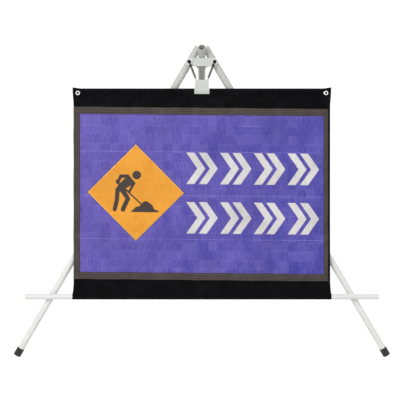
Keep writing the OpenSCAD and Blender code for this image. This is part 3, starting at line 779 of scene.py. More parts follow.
@dataclass
class Palette:
    """Every finish of the sign, made once."""

    effects: Effects = field(default_factory=Effects)

    def __post_init__(self) -> None:
        """Makes the materials."""
        e = self.effects
        self.enamel = Enamel("white_enamel", (0.83, 0.835, 0.81), 0.36).make(e)
        # Painted shade: a darker copy of the white enamel for the upper tubes, standing in for their shade.
        self.shaded_upper_enamel = Enamel("shaded_upper_enamel", (0.585, 0.59, 0.57), 0.38).make(e)
        self.pressed = Enamel("pressed_enamel", (0.64, 0.65, 0.62), 0.42, peel_depth=0.00003).make(e)
        self.washer = Metal("bright_zinc", (0.97, 0.97, 0.97), 0.5, metallic=0.4).make(e)
        self.zinc = Metal("zinc_plate", (0.74, 0.74, 0.75), 0.3).make(e)
        self.black_oxide = Metal("black_oxide", (0.005, 0.005, 0.0055), 0.42, metallic=0.2).make(e)
        self.spring = Metal("spring_steel", (0.009, 0.009, 0.0095), 0.4).make(e)
        self.nickel = Metal("nickel_plate", (0.86, 0.86, 0.87), 0.16).make(e)
        self.nylon = Moulded("nylon", (0.7, 0.68, 0.6), 0.45, scuff_amount=0.1).make(e)
        self.knob = Moulded("knob_plastic", (0.018, 0.018, 0.02), 0.42).make(e)
        self.rubber = Moulded("foot_rubber", (0.004, 0.004, 0.0045), 0.3, scuff_amount=0.15).make(e)
        self.canvas = Woven("black_canvas", (0.0028, 0.0028, 0.0034), 0.8, worn=(0.01, 0.01, 0.0115),
                            specular=0.06).make(e)
        # The tape's lighter colour serves both its wear and its painted sheen lines.
        self.tape = Woven("binding_tape", (0.04, 0.029, 0.027), 0.6, pitch=0.0016, depth=0.0003,
                          worn=(0.125, 0.1, 0.09), line=0.85, specular=0.25).make(e)
        self.thread = Moulded("seam_thread", (0.16, 0.135, 0.12), 0.7, scuff_amount=0.2, specular=0.2).make(e)
        self.black_thread = Moulded("black_thread", (0.006, 0.006, 0.006), 0.7, scuff_amount=0.0,
                                    specular=0.2).make(e)
        # The blue film takes painted shade towards the right and in slack patches.
        self.blue = Reflective("blue_sheet", (0.1, 0.064, 0.41), 0.3, shaded_far_colour=(0.036, 0.033, 0.35),
                               pale=(0.36, 0.31, 0.85), deep_shade=(0.015, 0.018, 0.3), deep_shade_share=0.75,
                               cell_share=0.32, streak_share=0.38, coat=0.3).make(e)
        self.orange = Reflective("orange_film", (0.88, 0.345, 0.017), 0.36, pale=(1.0, 0.56, 0.12),
                                 cell_share=0.3, streak_share=0.35, seam_share=0.4).make(e)
        self.edge = Reflective("pale_edge", (0.98, 0.66, 0.25), 0.36, pale=(1.0, 0.85, 0.6), cell_share=0.05,
                               streak_share=0.05, seam_share=0.1).make(e)
        self.rim = Reflective("dark_rim", (0.075, 0.022, 0.1), 0.42, pale=(0.2, 0.1, 0.3), cell_share=0.1,
                              streak_share=0.2, seam_share=0.2, coat=0.1).make(e)
        self.figure = Reflective("black_film", (0.043, 0.028, 0.025), 0.42, pale=(0.14, 0.11, 0.1),
                                 cell_share=0.1, streak_share=0.25, seam_share=0.2, coat=0.1).make(e)
        self.silver = Reflective("silver_film", (0.74, 0.71, 0.7), 0.36, pale=(0.95, 0.93, 0.95),
                                 cell_share=0.3, streak_share=0.4, seam_share=0.5).make(e)


@dataclass
class Cloth:
    """Shape of the hung cloth, in x, lift and height of the hub frame."""

    hub: HubFrame
    width: float = 0.9
    rail_depth: float = -0.007
    rail_radius: float = 0.0095
    top_rail: float = -0.104
    bottom_rail: float = -0.8188
    seam_drop: float = 0.02
    sag: float = 0.002
    fold_depth: float = 0.0018
    fold_pitch: float = 0.26

    def sway(self, x: np.ndarray, height: np.ndarray) -> np.ndarray:
        """Depth of the cloth behind the plane of the rails.

        Half a sine wave between the seams gives the sag. A sine of x plus half the
        height, which grows with the square of the way down and to the right, gives
        the soft folds.
        """
        low = self.bottom_rail + self.seam_drop
        high = self.top_rail - self.seam_drop
        fall = np.clip((high - height) / (high - low), 0, 1)
        right = np.maximum(0, 0.5 + x / self.width)
        fold = np.sin(math.tau * (x + (height - low) / 2) / self.fold_pitch)
        return np.sin(math.pi * fall) * (self.sag + self.fold_depth * fall**2 * right**2 * fold)

    def place(self, points: np.ndarray) -> np.ndarray:
        """Puts points of x, lift and height into the row frame, along the swaying cloth.

        Args:
            points: array whose last axis holds x, lift and height.

        Returns:
            An array of the same shape.
        """
        x, lift, height = points[..., 0], points[..., 1], points[..., 2]
        depth = self.rail_depth + self.sway(x, height) - lift
        return self.hub.place(np.stack([x, depth, height], axis=-1))


@dataclass
class Canvas:
    """Black canvas that runs from the hem behind the top rail round to the hem behind the bottom one."""

    cloth: Cloth
    palette: Palette
    thickness: float = 0.0008
    rail_gap: float = 0.0003
    layer_gap: float = 0.0003
    hem: float = 0.012
    rail_length: float = 0.812
    eyelet_inset: float = 0.018
    flange_radius: float = 0.0075
    corner_rise: float = 0.0036
    corner_reach: float = 0.03
    crest_drop: float = 0.02
    waist: float = 0.0075
    waist_span: tuple[float, float] = (0.84, 1.02)
    arc_steps: int = 25
    column_step: float = 0.0075
    row_step: float = 0.0035
    stitch_inset: float = 0.012
    stitch_rows: tuple[float, float] = (0.002, 0.006)

    def __post_init__(self) -> None:
        """Works out the sleeve from the rail."""
        self.sleeve_radius = self.cloth.rail_radius + self.rail_gap + self.thickness / 2
        self.seam_half = (self.thickness + self.layer_gap) / 2

    def outline(self) -> np.ndarray:
        """Path of the cloth in lift and height: hem, arc round the top rail, down, arc, hem."""
        c = self.cloth
        seam = math.acos(self.sleeve_radius / c.seam_drop)
        turn = np.linspace(seam, math.tau - seam, self.arc_steps)
        arc = self.sleeve_radius * np.stack([-np.sin(turn), -np.cos(turn)], axis=1)
        ends = [(-self.seam_half, -c.seam_drop - self.hem), (-self.seam_half, -c.seam_drop)]
        front = [(self.seam_half, -c.seam_drop)]
        top = np.concatenate([ends, arc, front]) + [0, c.top_rail]
        bottom = (np.concatenate([ends, arc, front]) * [1, -1] + [0, c.bottom_rail])[::-1]
        return soften(resample(np.concatenate([top, bottom]), self.row_step), passes=2)

    def middle(self) -> np.ndarray:
        """Grid of the cloth's middle surface in x, lift and height.

        Past the rail's ends the sleeve is pressed flat: the lift shrinks to a share
        of itself, and the top corners rise a little. Between the bands the cloth is
        narrower by a share, the waist.
        """
        path = self.outline()
        half = self.cloth.width / 2
        x = np.linspace(-half, half, int(round(2 * half / self.column_step)) + 1)
        flat_start = half - self.eyelet_inset - self.flange_radius
        full = 1 - smooth_step(self.rail_length / 2 + self.rail_gap, flat_start, np.abs(x))
        across, lift = np.meshgrid(x, path[:, 0])
        height = np.repeat(path[:, 1][:, None], len(x), axis=1)
        top = height > self.cloth.top_rail - self.cloth.seam_drop
        full = np.where(top, full[None, :], 1.0)
        least = np.minimum(np.abs(lift), self.seam_half)
        flat = np.minimum(np.abs(lift), self.thickness + self.seam_half / 2)
        lift = np.sign(lift) * np.maximum(np.maximum(least, np.abs(lift) * full), (1 - full) * flat)
        rise = smooth_step(half - self.corner_reach, half, np.abs(across))
        rail = self.cloth.top_rail
        crest = smooth_step(rail - self.crest_drop, rail + self.sleeve_radius, height)
        height = height + self.corner_rise * rise * crest
        centre = (self.cloth.top_rail + self.cloth.bottom_rail) / 2
        reach = np.abs(height - centre) / (self.cloth.top_rail - centre)
        across = across * (1 - self.waist * (1 - smooth_step(*self.waist_span, reach)))
        return np.stack([across, lift, height], axis=2)

    def build(self) -> list[bpy.types.Object]:
        """Makes the cloth, stands it for both CAD bands and sews its sleeves."""
        middle = self.cloth.place(self.middle())
        points, faces = thicken(middle, self.thickness)
        piece = make_piece("sign_canvas", points, faces, self.palette.canvas, sheet_uv(middle))
        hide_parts("top_band", "bottom_band")
        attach(piece, "sign")
        return [piece, self.stitch_sleeves()]

    def stitch_sleeves(self) -> bpy.types.Object:
        """Two rows of black stitches under the top sleeve and two over the bottom one."""
        c = self.cloth
        lift = self.seam_half + self.thickness / 2
        levels = [c.top_rail - c.seam_drop - drop for drop in self.stitch_rows]
        levels += [c.bottom_rail + c.seam_drop + drop for drop in self.stitch_rows]
        reach = c.width / 2 - self.stitch_inset
        rows = [((-reach, lift, level), (reach, lift, level)) for level in levels]
        return Stitches(c).build("sleeve_stitching", rows, self.palette.black_thread, Slot.CANVAS)


@dataclass
class Panel:
    """Reflective panel: cells of the film bulge a little, most at the lower right."""

    cloth: Cloth
    palette: Palette
    top: float = -0.1614
    height: float = 0.6
    lift: float = 0.00165
    thickness: float = 0.0008
    tilt: float = 0.0096
    tape_width: float = 0.025
    cell: float = 0.0311
    bulge: float = 0.0005
    dome_power: float = 0.7
    bulge_shares: tuple[float, float, float] = (0.35, 1.3, 1.5)
    right_span: tuple[float, float] = (0.2, 0.4)
    bottom_span: tuple[float, float] = (0.38, 0.52)
    bottom_reach: tuple[float, float] = (-0.1, 0.2)
    edge_inset: float = 0.0015
    left: float = -0.4455
    right: float = 0.4375
    step: float = 0.0034
    level_depth: float = 0.0016
    level_creases: tuple = (
        (1.0, 1, 0.5345, 0.0048, 0.14, 0.09),
        (0.9, -1, 0.5205, 0.0045, 0.09, 0.07),
        (0.6, 2, 0.51, 0.005, -0.12, 0.08),
    )
    upright_depth: float = 0.0012
    upright_place: tuple[float, float] = (0.18, 0.5)
    upright_reach: tuple[float, float] = (0.1, 0.03)
    slant_depth: float = 0.0018
    slant_centre: tuple[float, float] = (0.35, 0.47)
    slant_slope: float = 0.75
    slant_creases: tuple = ((1.0, 0.0, 0.008, 0.0, 0.05), (0.8, -0.035, 0.007, -0.01, 0.04))
    pull_depth: float = 0.0004
    pull_pitch: float = 0.0155
    pull_lean: float = 14.0
    pull_place: tuple[float, float] = (0.385, 0.09)
    pull_reach: tuple[float, float] = (0.04, 0.07)
    held_margin: float = 0.006

    def __post_init__(self) -> None:
        """Draws one random bulge and tilt for each cell of the film."""
        draw = np.random.default_rng(11)
        shape = (int(self.height / self.cell) + 2, int(self.cloth.width / self.cell) + 2)
        self.bulges = draw.uniform(0.2, 1.0, shape)
        self.slant_x = draw.uniform(-1.0, 1.0, shape)
        self.slant_z = draw.uniform(-1.0, 1.0, shape)

    def creases(self, x: np.ndarray, drop: np.ndarray) -> np.ndarray:
        """Height of the bulges and creases above the flat film.

        Each cell is a dome, the product of two parabolas to a power, times a
        random bulge and slant, and stands out more at the right and the bottom. Bells
        add the creases: level and upright ones low down, slanting ones in the lower
        right corner, and fine pulled ones at the upper right. Each level crease has a
        share of the depth, a factor on the waver, its drop and half width, and its
        middle and half length along x. Each slanting one has a share, and the same
        four measures across and along the slant. Places and reaches are x and drop.

        Args:
            x: distance from the middle.
            drop: distance below the panel's top edge.

        Returns:
            The height, never below zero, and zero under the tape.
        """
        column = np.clip(((x + self.cloth.width / 2) / self.cell), 0, self.bulges.shape[1] - 1.001)
        row = np.clip(drop / self.cell, 0, self.bulges.shape[0] - 1.001)
        i, j = row.astype(int), column.astype(int)
        u, v = column - j, row - i
        dome = (16 * u * (1 - u) * v * (1 - v)) ** self.dome_power
        cell = dome * (self.bulges[i, j] + self.slant_x[i, j] * (u - 0.5) + self.slant_z[i, j] * (v - 0.5))
        right = smooth_step(*self.right_span, x)
        bottom = smooth_step(*self.bottom_span, drop)
        least, at_right, at_bottom = self.bulge_shares
        weight = least + at_right * right + at_bottom * bottom * smooth_step(*self.bottom_reach, x)
        rise = self.bulge * cell * weight
        waver = 0.003 * np.sin(x * 61) + 0.002 * np.sin(x * 143 + 1)
        level = np.zeros_like(x)
        for share, swing, low, width, middle, reach in self.level_creases:
            level += share * bell(drop + swing * waver, low, width) * bell(x, middle, reach)
        upright = np.abs(np.sin(x * math.pi / self.cell))
        upright = upright * bell(drop, self.upright_place[1], self.upright_reach[1])
        upright = upright * bell(x, self.upright_place[0], self.upright_reach[0])
        beyond, below = x - self.slant_centre[0], drop - self.slant_centre[1]
        slope = beyond + below * self.slant_slope
        across = beyond * self.slant_slope - below
        slanting = np.zeros_like(x)
        for share, place, width, middle, reach in self.slant_creases:
            slanting += share * bell(slope, place, width) * bell(across, middle, reach)
        pulled = np.sin(x * math.tau / self.pull_pitch + self.pull_lean * drop)
        pulled = pulled * bell(x, self.pull_place[0], self.pull_reach[0])
        pulled = pulled * bell(drop, self.pull_place[1], self.pull_reach[1])
        rise = rise + self.level_depth * level + self.slant_depth * slanting
        rise = rise + self.pull_depth * np.maximum(pulled, 0) + self.upright_depth * upright
        side, low = self.cloth.width / 2 - self.tape_width, self.height - self.tape_width
        held = smooth_step(side, side - self.held_margin, np.abs(x))
        held = held * smooth_step(self.tape_width, self.tape_width + self.held_margin, drop)
        held = held * smooth_step(low, low - self.held_margin, drop)
        return np.maximum(rise, 0) * held

    def film(self, x: np.ndarray, drop: np.ndarray, above: float) -> np.ndarray:
        """Points of x, lift and height at a distance above the film's front face.

        Args:
            x: distance from the middle.
            drop: distance below the panel's top edge.
            above: distance in front of the film.

        Returns:
            An array with one more axis.
        """
        lift = self.lift + self.thickness / 2 + above + self.creases(x, drop)
        return np.stack([x, lift, self.top - drop - self.tilt * x], axis=-1)

    def build(self) -> bpy.types.Object:
        """Makes the panel and stands it for the CAD panel."""
        width, inset = self.right - self.left, self.edge_inset
        x, drop = np.meshgrid(
            np.linspace(self.left, self.right, int(width / self.step) + 1),
            np.linspace(inset, self.height - inset, int(self.height / self.step) + 1),
        )
        middle = self.cloth.place(self.film(x, drop, -self.thickness / 2))
        points, faces = thicken(middle, self.thickness)
        piece = make_piece("panel_film", points, faces, self.palette.blue, sheet_uv(middle))
        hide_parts("reflective_panel")
        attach(piece, "sign")
        return piece


@dataclass
class Stitches:
    """Rows of lockstitches, each a short thread that dips into the cloth at both ends."""

    cloth: Cloth
    length: float = 0.0034
    gap: float = 0.0012
    radius: float = 0.0003
    sides: int = 6
    rings: int = 5
    end_share: float = 0.02
    sunk_share: float = 0.7

    def row(self, start: np.ndarray, end: np.ndarray) -> tuple[np.ndarray, np.ndarray]:
        """Stitches along a straight row.

        A stitch's rings run from 0 to 1 along it. Its radius is the thread's times
        the square root of the sine of that share of half a turn, its swell. Its
        height is the thread's radius times the swell less the sunk share.

        Args:
            start: x, lift and height of the row's start.
            end: the same of its end.

        Returns:
            The points, and the faces as quads.
        """
        span = end - start
        total = float(np.linalg.norm(span))
        way = span / total
        count = int(total // (self.length + self.gap))
        first = (np.arange(count) + 0.5) * total / count
        share = np.linspace(self.end_share, 1 - self.end_share, self.rings)
        swell = np.sqrt(np.sin(math.pi * share))
        out = np.array([0.0, 1.0, 0.0])
        angle = np.arange(self.sides) * math.tau / self.sides
        ring = np.cos(angle)[:, None] * np.cross(way, out) + np.sin(angle)[:, None] * out
        along = (first[:, None] + (share - 0.5) * self.length)[..., None, None] * way
        body = self.radius * swell[:, None, None] * ring[None]
        arch = (self.radius * (swell - self.sunk_share))[:, None, None] * out
        points = start + along + body[None] + arch[None]
        caps = []
        last = (self.rings - 1) * self.sides
        for k in range(0, self.sides - 2, 2):
            caps.append([0, (k + 3) % self.sides, k + 2, k + 1])
            caps.append([last, last + k + 1, last + k + 2, last + (k + 3) % self.sides])
        quads = np.concatenate([tube_quads(self.rings, self.sides), np.array(caps)])
        size = self.rings * self.sides
        faces = (quads[None] + np.arange(count)[:, None, None] * size).reshape(-1, 4)
        return points.reshape(-1, 3), faces

    def build(self, name: str, rows: list[tuple[np.ndarray, np.ndarray]], material: bpy.types.Material,
              slot: Slot) -> bpy.types.Object:
        """Makes one piece of several rows.

        Args:
            name: name of the piece.
            rows: start and end of each row, in x, lift and height.
            material: the thread's finish.
            slot: the record's slot; not used.

        Returns:
            The piece, riding on the sign.
        """
        points, faces, count = [], [], 0
        for start, end in rows:
            row_points, row_faces = self.row(np.array(start, float), np.array(end, float))
            points.append(row_points)
            faces.append(row_faces + count)
            count += len(row_points)
        placed = self.cloth.place(np.concatenate(points))
        piece = make_piece(name, placed, [np.concatenate(faces)], material)
        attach(piece, "sign")
        return piece


@dataclass
class Binding:
    """Woven tape sewn round the panel, inside the canvas's edges; the right strip is partly turned under."""

    cloth: Cloth
    panel: Panel
    palette: Palette
    width: float = 0.025
    thickness: float = 0.0008
    lift: float = 0.00275
    left: tuple[float, float] = (-0.4468, -0.4248)
    right: tuple[float, float] = (0.4242, 0.4395)
    play: float = 0.0004
    crown: float = 0.00025
    wander: float = 0.0006
    step: float = 0.006
    columns: int = 9
    stitch_inset: float = 0.003

    def waver(self, way: np.ndarray, phase: float) -> np.ndarray:
        """Small sideways wander of a hand-fed edge: two sines of the way along it."""
        return self.wander * (np.sin(way * 37 + phase) + 0.6 * np.sin(way * 91 + 2 * phase)) / 1.6

    def strip(self, name: str, node: str, level: bool, run: tuple[float, float], edges: tuple[float, float],
              phase: float) -> bpy.types.Object:
        """A flat strip, level or upright.

        Its lift follows a shallow arch across its width, and its edges wander.

        Args:
            name: name of the piece.
            node: CAD node that it stands for.
            level: whether it runs along the sign.
            run: start and end along it, as x or as the drop below the panel's top.
            edges: its two edges across it, as drops or as places along x.
            phase: start of the edges' wander.

        Returns:
            The piece.
        """
        way = np.linspace(run[0], run[1], int((run[1] - run[0]) / self.step) + 1)
        along, share = np.meshgrid(way, np.linspace(-1, 1, self.columns))
        middle, half = (edges[0] + edges[1]) / 2, (edges[1] - edges[0]) / 2
        across = middle + share * half + self.waver(along, phase) * np.abs(share)
        x, drop = (along, across) if level else (across, along)
        lift = self.lift - self.crown * share**4
        height = self.panel.top - drop - self.panel.tilt * x
        surface = self.cloth.place(np.stack([x, lift, height], axis=2))
        points, faces = thicken(surface, self.thickness)
        piece = make_piece(name, points, faces, self.palette.tape, sheet_uv(surface)[:, ::-1])
        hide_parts(node)
        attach(piece, "sign")
        return piece

    def build(self) -> list[bpy.types.Object]:
        """Makes the four strips and their stitching."""
        low = self.panel.height - self.width
        ends, sides = (self.left[0], self.right[1]), (self.width + self.play, low - self.play)
        pieces = [
            self.strip("top_tape", "top_binding", True, ends, (0.0, self.width), 0.0),
            self.strip("bottom_tape", "bottom_binding", True, ends, (low, self.panel.height), 1.7),
            self.strip("left_tape", "left_binding", False, sides, self.left, 0.8),
            self.strip("right_tape", "right_binding", False, sides, self.right, 2.9),
        ]
        rows = []
        face, inset = self.lift + self.thickness / 2, self.stitch_inset
        for drop in (inset, self.width - inset, low + inset, self.panel.height - inset):
            rows.append([[x, face, self.panel.top - drop - self.panel.tilt * x] for x in ends])
        for x in (self.left[0] + inset, self.left[1] - inset, self.right[0] + inset, self.right[1] - inset):
            rows.append([[x, face, self.panel.top - drop - self.panel.tilt * x] for drop in sides])
        pieces.append(Stitches(self.cloth).build("tape_stitching", rows, self.palette.thread, Slot.TAPE))
        return pieces


def counter_clockwise(outline: np.ndarray) -> np.ndarray:
    """Turns an outline round if half the sum of its cross products is below zero."""
    after = np.roll(outline, -1, axis=0)
    area = float((outline[:, 0] * after[:, 1] - outline[:, 1] * after[:, 0]).sum())
    return outline[::-1] if area < 0 else outline


@dataclass
class FilmCutter:
    """Cuts flat shapes out of thin film and lays them on the panel."""

    panel: Panel
    thickness: float = 0.00035
    gap: float = 0.00008
    step: float = 0.004
    merge_distance: float = 1e-7

    def covered(self, shapes: list[np.ndarray], holes: list[np.ndarray]) -> tuple[np.ndarray, np.ndarray]:
        """Triangulates what lies inside a shape and outside every hole.

        The outlines and a grid of points between them are triangulated together.

        Args:
            shapes: outlines, which may overlap.
            holes: outlines of what is cut out.

        Returns:
            The points, and the triangles between them.
        """
        outlines = [counter_clockwise(outline) for outline in shapes + holes]
        corners = np.concatenate(outlines)
        low, high = corners.min(axis=0), corners.max(axis=0)
        xs, ys = (np.arange(low[i], high[i], self.step) + self.step / 2 for i in (0, 1))
        flat = np.concatenate([corners, np.stack(np.meshgrid(xs, ys), axis=2).reshape(-1, 2)])
        starts = np.concatenate([[0], np.cumsum([len(outline) for outline in outlines])])
        loops = [list(range(a, b)) for a, b in zip(starts[:-1], starts[1:])]
        made = delaunay_2d_cdt([Vector(p) for p in flat], [], loops, 1, self.merge_distance, True)
        kept = [tri for tri, owner in zip(made[2], made[5]) if owner and max(owner) < len(shapes)]
        used, index = np.unique(np.array(kept), return_inverse=True)
        return np.array([tuple(p) for p in made[0]])[used], index.reshape(-1, 3)

    def cut(self, name: str, shapes: list[np.ndarray], material: bpy.types.Material, slot: Slot,
            layer: int = 0, holes: list[np.ndarray] | None = None) -> bpy.types.Object:
        """Makes the film that covers several shapes, which may overlap.

        A wall joins the front and back along each edge that only one triangle has.

        Args:
            name: name of the piece.
            shapes: outlines in x and drop below the panel's top edge.
            material: its finish.
            slot: the record's slot; not used.
            layer: how many films it lies on.
            holes: outlines of what is cut out.

        Returns:
            The piece, riding on the sign.
        """
        points, triangles = self.covered(shapes, holes or [])
        above = self.gap + layer * (self.thickness + self.gap)
        back = self.panel.film(points[:, 0], points[:, 1], above)
        front = self.panel.film(points[:, 0], points[:, 1], above + self.thickness)
        edges = np.concatenate([triangles[:, [0, 1]], triangles[:, [1, 2]], triangles[:, [2, 0]]])
        code = np.sort(edges, axis=1) @ [len(points), 1]
        _, which, uses = np.unique(code, return_index=True, return_counts=True)
        rim = edges[which[uses == 1]]
        count = len(points)
        walls = np.stack([rim[:, 1], rim[:, 0], rim[:, 0] + count, rim[:, 1] + count], axis=1)
        faces = [np.concatenate([triangles, triangles[:, ::-1] + count]), walls]
        uv = np.concatenate([points * [1, -1], points * [1, -1]]) + [self.panel.cloth.width / 2, 0]
        placed = self.panel.cloth.place(np.concatenate([front, back]))
        piece = make_piece(name, placed, faces, material, uv)
        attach(piece, "sign")
        return piece


@dataclass
class Artwork:
    """Orange diamond with the common figure of a digging worker, and pairs of plain chevrons."""

    cutter: FilmCutter
    palette: Palette
    centre: tuple[float, float] = (-0.23, 0.2973)
    half_diagonal: float = 0.17
    border: float = 0.0017
    mark_size: float = 0.11
    mark_stroke: float = 0.028
    mark_run: float = 0.0385
    mark_pitch: float = 0.1175
    row_pitch: float = 0.172
    marks_middle: float = 0.17675
    body_shares: tuple = (
        (-0.330, 0.369), (-0.153, 0.369), (-0.004, 0.190), (-0.118, -0.003), (0.150, -0.250),
        (0.132, -0.270), (-0.206, 0.036), (-0.113, -0.127), (-0.224, -0.369), (-0.250, -0.392),
        (-0.284, -0.391), (-0.307, -0.365), (-0.306, -0.331), (-0.213, -0.130), (-0.317, 0.022),
        (-0.333, 0.012), (-0.346, -0.162), (-0.392, -0.357), (-0.411, -0.383), (-0.443, -0.388),
        (-0.469, -0.369), (-0.474, -0.337), (-0.430, -0.150), (-0.418, 0.052), (-0.407, 0.089),
        (-0.352, 0.155), (-0.377, 0.170), (-0.407, 0.190), (-0.399, 0.224), (-0.418, 0.240),
        (-0.411, 0.258), (-0.373, 0.262),
    )
    hole_shares: tuple = (
        ((-0.209, 0.302), (-0.285, 0.298), (-0.303, 0.276), (-0.340, 0.176)),
        ((-0.086, 0.149), (-0.209, 0.082), (-0.150, 0.040)),
    )
    heap_shares: tuple = (
        (-0.105, -0.399), (0.007, -0.291), (0.059, -0.283), (0.115, -0.238), (0.148, -0.194),
        (0.197, -0.171), (0.245, -0.186), (0.335, -0.253), (0.383, -0.346), (0.431, -0.354),
        (0.465, -0.373), (0.472, -0.399),
    )
    head_share: tuple[float, float] = (0.020, 0.359)
    head_radius_share: float = 0.088
    head_points: int = 24

    def from_shares(self, shares: tuple) -> np.ndarray:
        """Turns shares of the half diagonal, rightwards and upwards, into x and drop."""
        return np.array(self.centre) + self.half_diagonal * np.array(shares) * [1, -1]

    def square(self, half: float) -> np.ndarray:
        """Outline of a square that stands on its corner."""
        return np.array(self.centre) + half * np.array([[1, 0], [0, 1], [-1, 0], [0, -1]], float)

    def chevron(self, left: float, middle: float) -> np.ndarray:
        """Outline of a chevron that points right, from its left edge and its middle height."""
        half, run, stroke = self.mark_size / 2, self.mark_run, self.mark_stroke
        corners = [(0, -half), (stroke, -half), (stroke + run, 0), (stroke, half), (0, half), (run, 0)]
        return np.array([left, middle]) + np.array(corners)

    def build(self) -> list[bpy.types.Object]:
        """Cuts the films and stands them for their CAD nodes."""
        p, cut = self.palette, self.cutter.cut
        step = self.border * math.sqrt(2)
        half = self.half_diagonal
        rim = cut("diamond_rim", [self.square(half)], p.rim, Slot.ORANGE)
        edge = cut("diamond_edge", [self.square(half - step)], p.edge, Slot.ORANGE, 1)
        diamond = cut("diamond_film", [self.square(half - 2 * step)], p.orange, Slot.ORANGE, 2)
        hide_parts("warning_diamond")
        head = self.from_shares((self.head_share,))[0]
        shapes = [self.from_shares(shares) for shares in (self.body_shares, self.heap_shares)]
        last = 360 - 360 / self.head_points
        shapes.append(arc_points(head, self.head_radius_share * half, 0, last, self.head_points))
        holes = [self.from_shares(shares) for shares in self.hole_shares]
        figure = cut("figure_film", shapes, p.figure, Slot.BLACK_FILM, 3, holes)
        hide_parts("work_symbol")
        marks = []
        second = self.mark_size - self.mark_run - self.mark_stroke
        for row in (-0.5, 0.5):
            for column in (-1.5, -0.5, 0.5, 1.5):
                middle = self.centre[1] + row * self.row_pitch
                left = self.marks_middle + column * self.mark_pitch - self.mark_size / 2
                marks += [self.chevron(left + shift, middle) for shift in (0, second)]
        chevrons = cut("chevron_films", marks, p.silver, Slot.SILVER)
        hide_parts("panel_marks")
        return [rim, edge, diamond, figure, chevrons]


@dataclass
class HangerSpring:
    """Close-wound tension spring with an eye round the leg bolt and a hook through the clip."""

    hub: HubFrame
    palette: Palette
    side: Side
    bolt_x: float = 0.0445
    eye_depth: float = -0.0028
    hole_x: float = 0.019
    hook_depth: float = -0.007
    hook_height: float = -0.0666
    wire: float = 0.0014
    coil: float = 0.008
    turns: int = 27
    turn_steps: int = 24
    eye_radius: float = 0.0053
    eye_arc: tuple[float, float] = (10, 310)
    eye_steps: int = 40
    hook_radius: float = 0.0036
    hook_arc: tuple[float, float] = (140, -130)
    hook_steps: int = 36
    eye_start: float = 0.0003
    coil_start: float = 0.0087
    bend_start: float = -0.0066
    bend_end: float = -0.022
    stretch_start: float = -0.027
    stretch_end: float = -0.06
    sides: int = 10

    def line(self) -> np.ndarray:
        """Middle of the wire, in x, depth and height of the hub frame.

        Along the spring's own axis come the eye, a circle behind the coil in the
        plane of the plate; the coil, a helix; and the hook, a circle turned a
        quarter, which passes through the clip.
        """
        radius = (self.coil - self.wire) / 2
        start = np.array([self.bolt_x, self.eye_depth - radius, 0.0])
        end = np.array([self.hole_x, self.hook_depth, self.hook_height])
        total = float(np.linalg.norm(end - start))
        hook_centre = total - self.hook_radius
        coil_end = hook_centre - self.hook_radius - 2 * self.wire
        eye = arc_points((self.eye_start, 0.0), self.eye_radius, *self.eye_arc, self.eye_steps)
        eye = np.insert(eye, 2, -radius, axis=1)
        turn = np.linspace(0, (self.turns + 0.25) * math.tau, self.turns * self.turn_steps)
        rise = np.linspace(self.coil_start, coil_end, len(turn))
        helix = np.stack([rise, radius * np.sin(turn), -radius * np.cos(turn)], axis=1)
        hook = arc_points((hook_centre, 0.0), self.hook_radius, *self.hook_arc, self.hook_steps)
        hook = np.insert(hook, 1, 0.0, axis=1)
        way = soften(resample(np.concatenate([eye, helix, hook]), self.wire / 2), 3)
        axis = (end - start) / total
        across = np.cross(axis, [0.0, 1.0, 0.0])
        across /= np.linalg.norm(across)
        third = np.cross(axis, across)
        points = start + way @ np.stack([axis, across, third])
        return points * [self.side.value, 1, 1]

    def part(
        self, name: str, line: np.ndarray, span: tuple[float, float]
    ) -> bpy.types.Object:
        """Makes one length of the wire.

        Args:
            name: what follows the side in the piece's name.
            line: middle of the wire in the hub frame.
            span: heights between which the wire turns from one to the other.

        Returns:
            The piece.
        """
        points, faces = sweep(self.hub.place(line), self.wire / 2, self.sides)
        side = self.side.name.lower()
        piece = make_piece(side + name, points, faces, self.palette.spring)
        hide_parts(side + "_spring")
        start, end = (self.hub.place(np.array([self.bolt_x, self.eye_depth, height])) for height in span)
        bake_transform(piece)
        return piece

    def build(self) -> list[bpy.types.Object]:
        """Makes two pieces: the eye with the coil's first turns, and the other coils with the hook."""
        line = self.line()
        cut = int(np.argmax(line[:, 2] < self.bend_end))
        bend, stretch = (self.bend_start, self.bend_end), (self.stretch_start, self.stretch_end)
        return [self.part("_hanger_eye", line[:cut + 1], bend),
                self.part("_hanger_spring", line[cut:], stretch)]


@dataclass
class Ironwork:
    """CAD nodes that stay, each dressed in its finish."""

    palette: Palette
    nodes: dict[str, bpy.types.Object]

    def finish_of(self, node: str) -> bpy.types.Material:
        """The finish of a node, by its name."""
        p = self.palette
        # The upper tubes take the darker enamel copy, which paints in their shade.
        endings = {
            "_upper_tube": p.shaded_upper_enamel, "_tube": p.enamel, "_rail": p.enamel, "_collar": p.pressed,
            "_knob": p.knob, "_foot": p.rubber,
            "_plate": p.pressed, "_bracket": p.pressed, "_clip": p.pressed, "_bolts": p.black_oxide,
            "_bolt": p.black_oxide, "_washers": p.washer, "_nuts": p.zinc, "_nut": p.zinc,
            "_spacers": p.nylon, "_spring": p.spring, "_band": p.canvas, "_binding": p.tape,
            "_panel": p.blue, "_diamond": p.orange, "_symbol": p.figure, "_marks": p.silver,
            "_eyelet": p.nickel,
        }
        return next(finish for ending, finish in endings.items() if node.endswith(ending))

    def dress(self) -> None:
        """Gives every CAD node its material."""
        for name, node in self.nodes.items():
            node.data.materials.clear()
            node.data.materials.append(self.finish_of(name))


